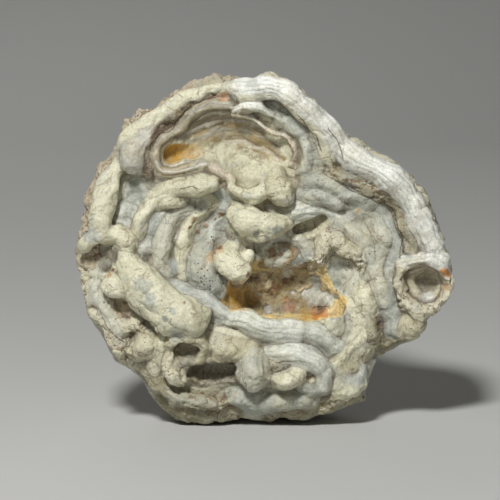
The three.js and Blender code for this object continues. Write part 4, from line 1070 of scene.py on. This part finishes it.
class Graph:
    """Short names for the nodes of one material."""

    def __init__(self, name):
        self.material = bpy.data.materials.new(name)
        self.material.use_nodes = True
        self.nodes = self.material.node_tree.nodes
        self.links = self.material.node_tree.links
        self.shader = self.nodes["Principled BSDF"]

    def put(self, inputs, values):
        """Sets a node's inputs, or links them to the outputs of other nodes."""
        for name, value in values.items():
            if isinstance(value, bpy.types.NodeSocket):
                self.links.new(value, inputs[name])
            else:
                inputs[name].default_value = value

    def node(self, kind, output, values, **settings):
        """One of the outputs of a new node with these settings and inputs."""
        node = self.nodes.new("ShaderNode" + kind)
        for name, setting in settings.items():
            setattr(node, name, setting)
        self.put(node.inputs, values)
        return node.outputs[output]

    def attribute(self, name, output="Fac"):
        return self.node("Attribute", output, {}, attribute_name=name)

    def math(self, operation, *values):
        return self.node("Math", 0, dict(enumerate(values)), operation=operation)

    def product(self, *values):
        return functools.reduce(lambda first, second: self.math("MULTIPLY", first, second), values)

    def total(self, *values):
        return functools.reduce(lambda first, second: self.math("ADD", first, second), values)

    def step(self, value, low, high, start=0, end=1):
        values = dict(enumerate((value, low, high, start, end)))
        return self.node("MapRange", 0, values, interpolation_type="SMOOTHSTEP")

    def mix(self, share, first, second, blend="MIX"):
        values = {0: share, 6: first, 7: second}
        return self.node("Mix", 2, values, data_type="RGBA", blend_type=blend)

    def over(self, colour, layer, share):
        """The colour with a share of another over it."""
        return self.mix(share, colour, rgb(*layer))

    def millimetres(self):
        place = self.node("TexCoord", "Object", {})
        return self.node("VectorMath", 0, {0: place, "Scale": 1 / MM}, operation="SCALE")

    def noise(self, place, size, detail=2.0, roughness=0.5, output=0):
        values = {"Vector": place, "Scale": 1 / size, "Detail": detail, "Roughness": roughness}
        return self.node("TexNoise", output, values)

    def cells(self, place, size, feature="F1"):
        values = {"Vector": place, "Scale": 1 / size}
        return self.node("TexVoronoi", "Distance", values, feature=feature)

    def shifted(self, place, size, amount):
        """The place moved a little way by noise, so that what is drawn there wanders."""
        values = {0: self.noise(place, size, output="Color"), 1: (amount,) * 3, 2: place}
        return self.node("VectorMath", 0, values, operation="MULTIPLY_ADD")

    def bump(self, height, millimetres, strength, under=None):
        values = {"Strength": strength, "Distance": millimetres * MM, "Height": height}
        if under is not None:
            values["Normal"] = under
        return self.node("Bump", 0, values)

    def surface(self, values):
        """Sets inputs of the material's shader."""
        self.put(self.shader.inputs, values)


def rgb(*colour):
    return (*linear(colour), 1.0)


def stone_marks(graph):
    """What the corners of the skin say of the stone, and noise of three sizes."""
    marks = SimpleNamespace(place=graph.millimetres(), tint=graph.attribute("tint", "Color"))
    for name in MARKS:
        setattr(marks, name, graph.attribute(name))
    marks.striped = graph.product(marks.striped, graph.step(marks.warty, 0.5, 0.9, 1, 0.35))
    marks.broad = graph.noise(marks.place, 4.5, 3)
    marks.middle = graph.noise(marks.place, 1.3, 4, 0.6)
    marks.fine = graph.noise(marks.place, 0.32, 3, 0.6)
    return marks


def crust_colour(graph, marks):
    """Chalky cream that thins to the blue-grey stone under it in soft patches."""
    colour = graph.over(marks.tint, CHALK, graph.step(marks.broad, 0.35, 0.7, 0, 0.35))
    olive = graph.step(graph.noise(marks.place, 7.0, 3), 0.48, 0.68, 0, 0.4)
    colour = graph.over(colour, OLIVE_CRUST, olive)
    grey = graph.step(graph.noise(marks.place, 3.1, 3), 0.52, 0.66, 0, 0.4)
    colour = graph.over(colour, GREY_CRUST, grey)
    bare = graph.total(graph.step(marks.middle, 0.42, 0.62, 0, 0.5), marks.blue)
    thin = graph.math("MINIMUM", graph.product(marks.blue, 2), 1)
    bare = graph.product(graph.step(bare, 0.55, 1.1), thin, 0.6)
    return graph.over(colour, BARE_STONE, bare)


def growth_lines(graph, marks, colour):
    """Lines of growth along the folds: the colour with them, and where the dark ones are."""
    wobble = graph.math("MULTIPLY_ADD", graph.noise(marks.place, 2.4), 0.8, marks.band)
    dark = graph.math("SINE", graph.product(wobble, math.tau / GROWTH_STEP))
    dark = graph.product(graph.step(dark, 0.2, 0.95), graph.step(marks.middle, 0.38, 0.62, 0.15, 1))
    tone = graph.mix(graph.step(marks.glossy, 0.6, 0.8), rgb(*DARK_LINE), rgb(*GLOSSY_LINE))
    colour = graph.mix(graph.product(dark, marks.striped, 0.75), colour, tone)
    pale = graph.math("SINE", graph.product(wobble, math.tau / PALE_STEP))
    pale = graph.product(graph.step(pale, 0.3, 0.9), marks.striped, 0.4)
    return graph.over(colour, PALE_LINE, pale), dark


def speck_mask(graph, marks):
    """Dust-dark specks, each its own size."""
    size = graph.product(graph.step(graph.noise(marks.place, 2.4), 0.38, 0.66), 0.28)
    size = graph.product(size, graph.total(graph.product(marks.speckled, 0.8), 0.2))
    return graph.step(graph.math("SUBTRACT", graph.cells(marks.place, 0.65), size), -0.06, 0.03, 1, 0)


def stained(graph, marks, colour):
    """Brown stain and painted shade gather in creases and pits, a painted highlight lightens the
    crowns, dark lines run along the seams, and painted shade darkens the broad hollows.
    """
    # Painted highlight: what stands out is made paler.
    crown_highlight = graph.step(marks.cavity, -0.02, -0.22)
    colour = graph.over(colour, PAINTED_CROWN_HIGHLIGHT, graph.product(crown_highlight, 0.3))
    # Brown stain and painted shade darken the creases.
    deep = graph.step(graph.total(marks.cavity, graph.product(marks.middle, 0.1)), 0.07, 0.3)
    colour = graph.over(colour, CREASE_STAIN_AND_SHADE, graph.product(deep, 0.8))
    seam = graph.step(graph.total(marks.gap, graph.product(marks.middle, 0.7)), 0.35, 0.7, 1, 0)
    seam = graph.product(seam, graph.step(marks.cavity, -0.02, 0.06))
    seam = graph.product(seam, graph.step(marks.warty, 0.7, 0.85, 1, 0.2))
    colour = graph.over(colour, SEAM, graph.product(seam, 0.6))
    # Painted shade darkens the broad hollows.
    return graph.over(colour, PAINTED_HOLLOW_SHADE, graph.step(marks.hollow, 1.5, 5, 0, 0.2))


def split_mask(graph, marks):
    """Dark splits between the rounded lumps of the crust."""
    split = graph.total(marks.lump_gap, graph.product(marks.fine, 0.1))
    split = graph.product(graph.step(split, 0.06, 0.13, 1, 0), graph.step(marks.broad, 0.4, 0.55))
    return graph.product(split, graph.step(marks.warty, 0.05, 0.5, 0.3, 1))


def crack_mask(graph, marks):
    """The long cracks, drawn along their lines."""
    side = graph.total(graph.math("ABSOLUTE", marks.crack_side), graph.product(marks.fine, 0.2))
    return graph.product(
        graph.step(side, 0.12, 0.22, 1, 0), graph.step(marks.crack_near, 0.3, 0.5, 1, 0)
    )


def hairline_mask(graph, marks):
    """Hairline cracks where the crust has crazed."""
    edge = graph.cells(graph.shifted(marks.place, 1.5, 0.7), 2.6, "DISTANCE_TO_EDGE")
    crazed = graph.step(graph.noise(marks.place, 2.6), 0.52, 0.62)
    return graph.product(
        graph.step(edge, 0.01, 0.05, 1, 0), crazed, graph.step(marks.glossy, 0.3, 0.5, 1, 0)
    )


def shaded(graph, marks, colour):
    """Painted shade darkens the hollows and a painted highlight lightens what stands out; fine noise
    varies the tone.
    """
    # Painted shade in the hollows, painted highlight on what stands out.
    colour = graph.mix(1.0, colour, graph.step(marks.hollow, -0.4, 1.0, 1.07, 0.68), "MULTIPLY")
    return graph.mix(1.0, colour, graph.step(marks.fine, 0.36, 0.64, 0.86, 1.06), "MULTIPLY")


def gloss(graph, marks):
    """How rough the surface is, and how far light goes into it."""
    rough = graph.math("SUBTRACT", 0.68, graph.product(marks.glossy, 0.38))
    rough = graph.total(rough, graph.step(marks.middle, 0.3, 0.7, -0.06, 0.08))
    graph.surface({
        "Roughness": rough,
        "IOR": 1.53,
        "Subsurface Weight": 0.12,
        "Subsurface Radius": (1.0, 0.9, 0.8),
        "Subsurface Scale": 0.8 * MM,
    })


def bumps(graph, marks, grooves):
    """Grit, pits in the rough crust, and the grooves of lines, specks and cracks."""
    grit = graph.total(marks.fine, graph.product(marks.middle, 1.6))
    grit = graph.product(grit, graph.step(marks.warty, 0.0, 0.6, 0.45, 1))
    normal = graph.bump(grit, 0.3, 0.8)
    pits = graph.product(graph.step(graph.cells(marks.place, 0.55), 0.1, 0.5), marks.warty)
    normal = graph.bump(pits, 0.12, 0.6, normal)
    normal = graph.bump(graph.math("SUBTRACT", 0, grooves), 0.12, 0.7, normal)
    graph.surface({"Normal": normal})


def stone_material():
    graph = Graph("chalcedony")
    marks = stone_marks(graph)
    speck = speck_mask(graph, marks)
    split = split_mask(graph, marks)
    crack = crack_mask(graph, marks)
    hairline = hairline_mask(graph, marks)
    colour, line = growth_lines(graph, marks, crust_colour(graph, marks))
    colour = graph.over(colour, SPECK, graph.product(speck, 0.85))
    colour = stained(graph, marks, colour)
    colour = graph.over(colour, SPLIT, graph.product(split, 0.8))
    colour = graph.over(colour, CRACK, graph.product(crack, 0.7))
    colour = graph.over(colour, HAIRLINE, graph.product(hairline, 0.5))
    graph.surface({"Base Color": shaded(graph, marks, colour)})
    gloss(graph, marks)
    grooves = graph.total(speck, graph.math("MAXIMUM", crack, hairline))
    bumps(graph, marks, graph.total(graph.product(line, marks.striped, 0.5), grooves))
    return graph.material


def add_floor():
    """A pale sheet that runs back and curves up into the backdrop."""
    profile = [(FLOOR_FRONT, 0), (FLOOR_BEND, 0)]
    for i in range(1, FLOOR_TURNS + 1):
        angle = math.pi / 2 * i / FLOOR_TURNS
        y = FLOOR_BEND + FLOOR_RADIUS * math.sin(angle)
        profile.append((y, FLOOR_RADIUS * (1 - math.cos(angle))))
    profile.append((FLOOR_BEND + FLOOR_RADIUS, BACKDROP_TOP))
    corners = [(x, y, z) for y, z in profile for x in (-FLOOR_HALF_WIDTH, FLOOR_HALF_WIDTH)]
    faces = [(2 * i, 2 * i + 1, 2 * i + 3, 2 * i + 2) for i in range(len(profile) - 1)]
    mesh = bpy.data.meshes.new("floor")
    mesh.from_pydata(corners, [], faces)
    mesh.polygons.foreach_set("use_smooth", [True] * len(faces))
    graph = Graph("floor_paper")
    graph.surface({"Base Color": rgb(*FLOOR_PAPER), "Roughness": 0.9, "Specular IOR Level": 0.1})
    mesh.materials.append(graph.material)
    linked(bpy.data.objects.new("floor", mesh))


def aim(item, place, direction):
    """Puts a lamp or the camera at a place, looking along a direction."""
    item.location = place
    item.rotation_euler = direction.to_track_quat("-Z", "Y").to_euler()
    return linked(item)


def add_lights():
    for name, (place, size, watts) in LAMPS.items():
        lamp = bpy.data.lights.new(name, "AREA")
        lamp.shape = "DISK"
        lamp.size = size
        lamp.energy = watts
        aim(bpy.data.objects.new(name, lamp), place, Vector(LAMP_AIM) - Vector(place))
    world = bpy.data.worlds.new("studio")
    world.use_nodes = True
    background = world.node_tree.nodes["Background"]
    background.inputs["Color"].default_value = SKY_COLOUR
    background.inputs["Strength"].default_value = SKY_STRENGTH
    bpy.context.scene.world = world
    bpy.context.scene.view_settings.view_transform = "Standard"


def add_camera():
    camera = bpy.data.cameras.new("camera")
    camera.lens = LENS
    camera.clip_start = NEAREST_SEEN
    away = Vector((0, -math.cos(LEAN), math.sin(LEAN)))
    place = Vector(CAMERA_AIM) + away * CAMERA_DISTANCE
    bpy.context.scene.camera = aim(bpy.data.objects.new("camera", camera), place, -away)


chalcedony = stone_material()
for piece in make_stone():
    piece.data.materials.append(chalcedony)
    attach(piece, "root")
    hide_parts(NODE)
add_floor()
add_lights()
add_camera()
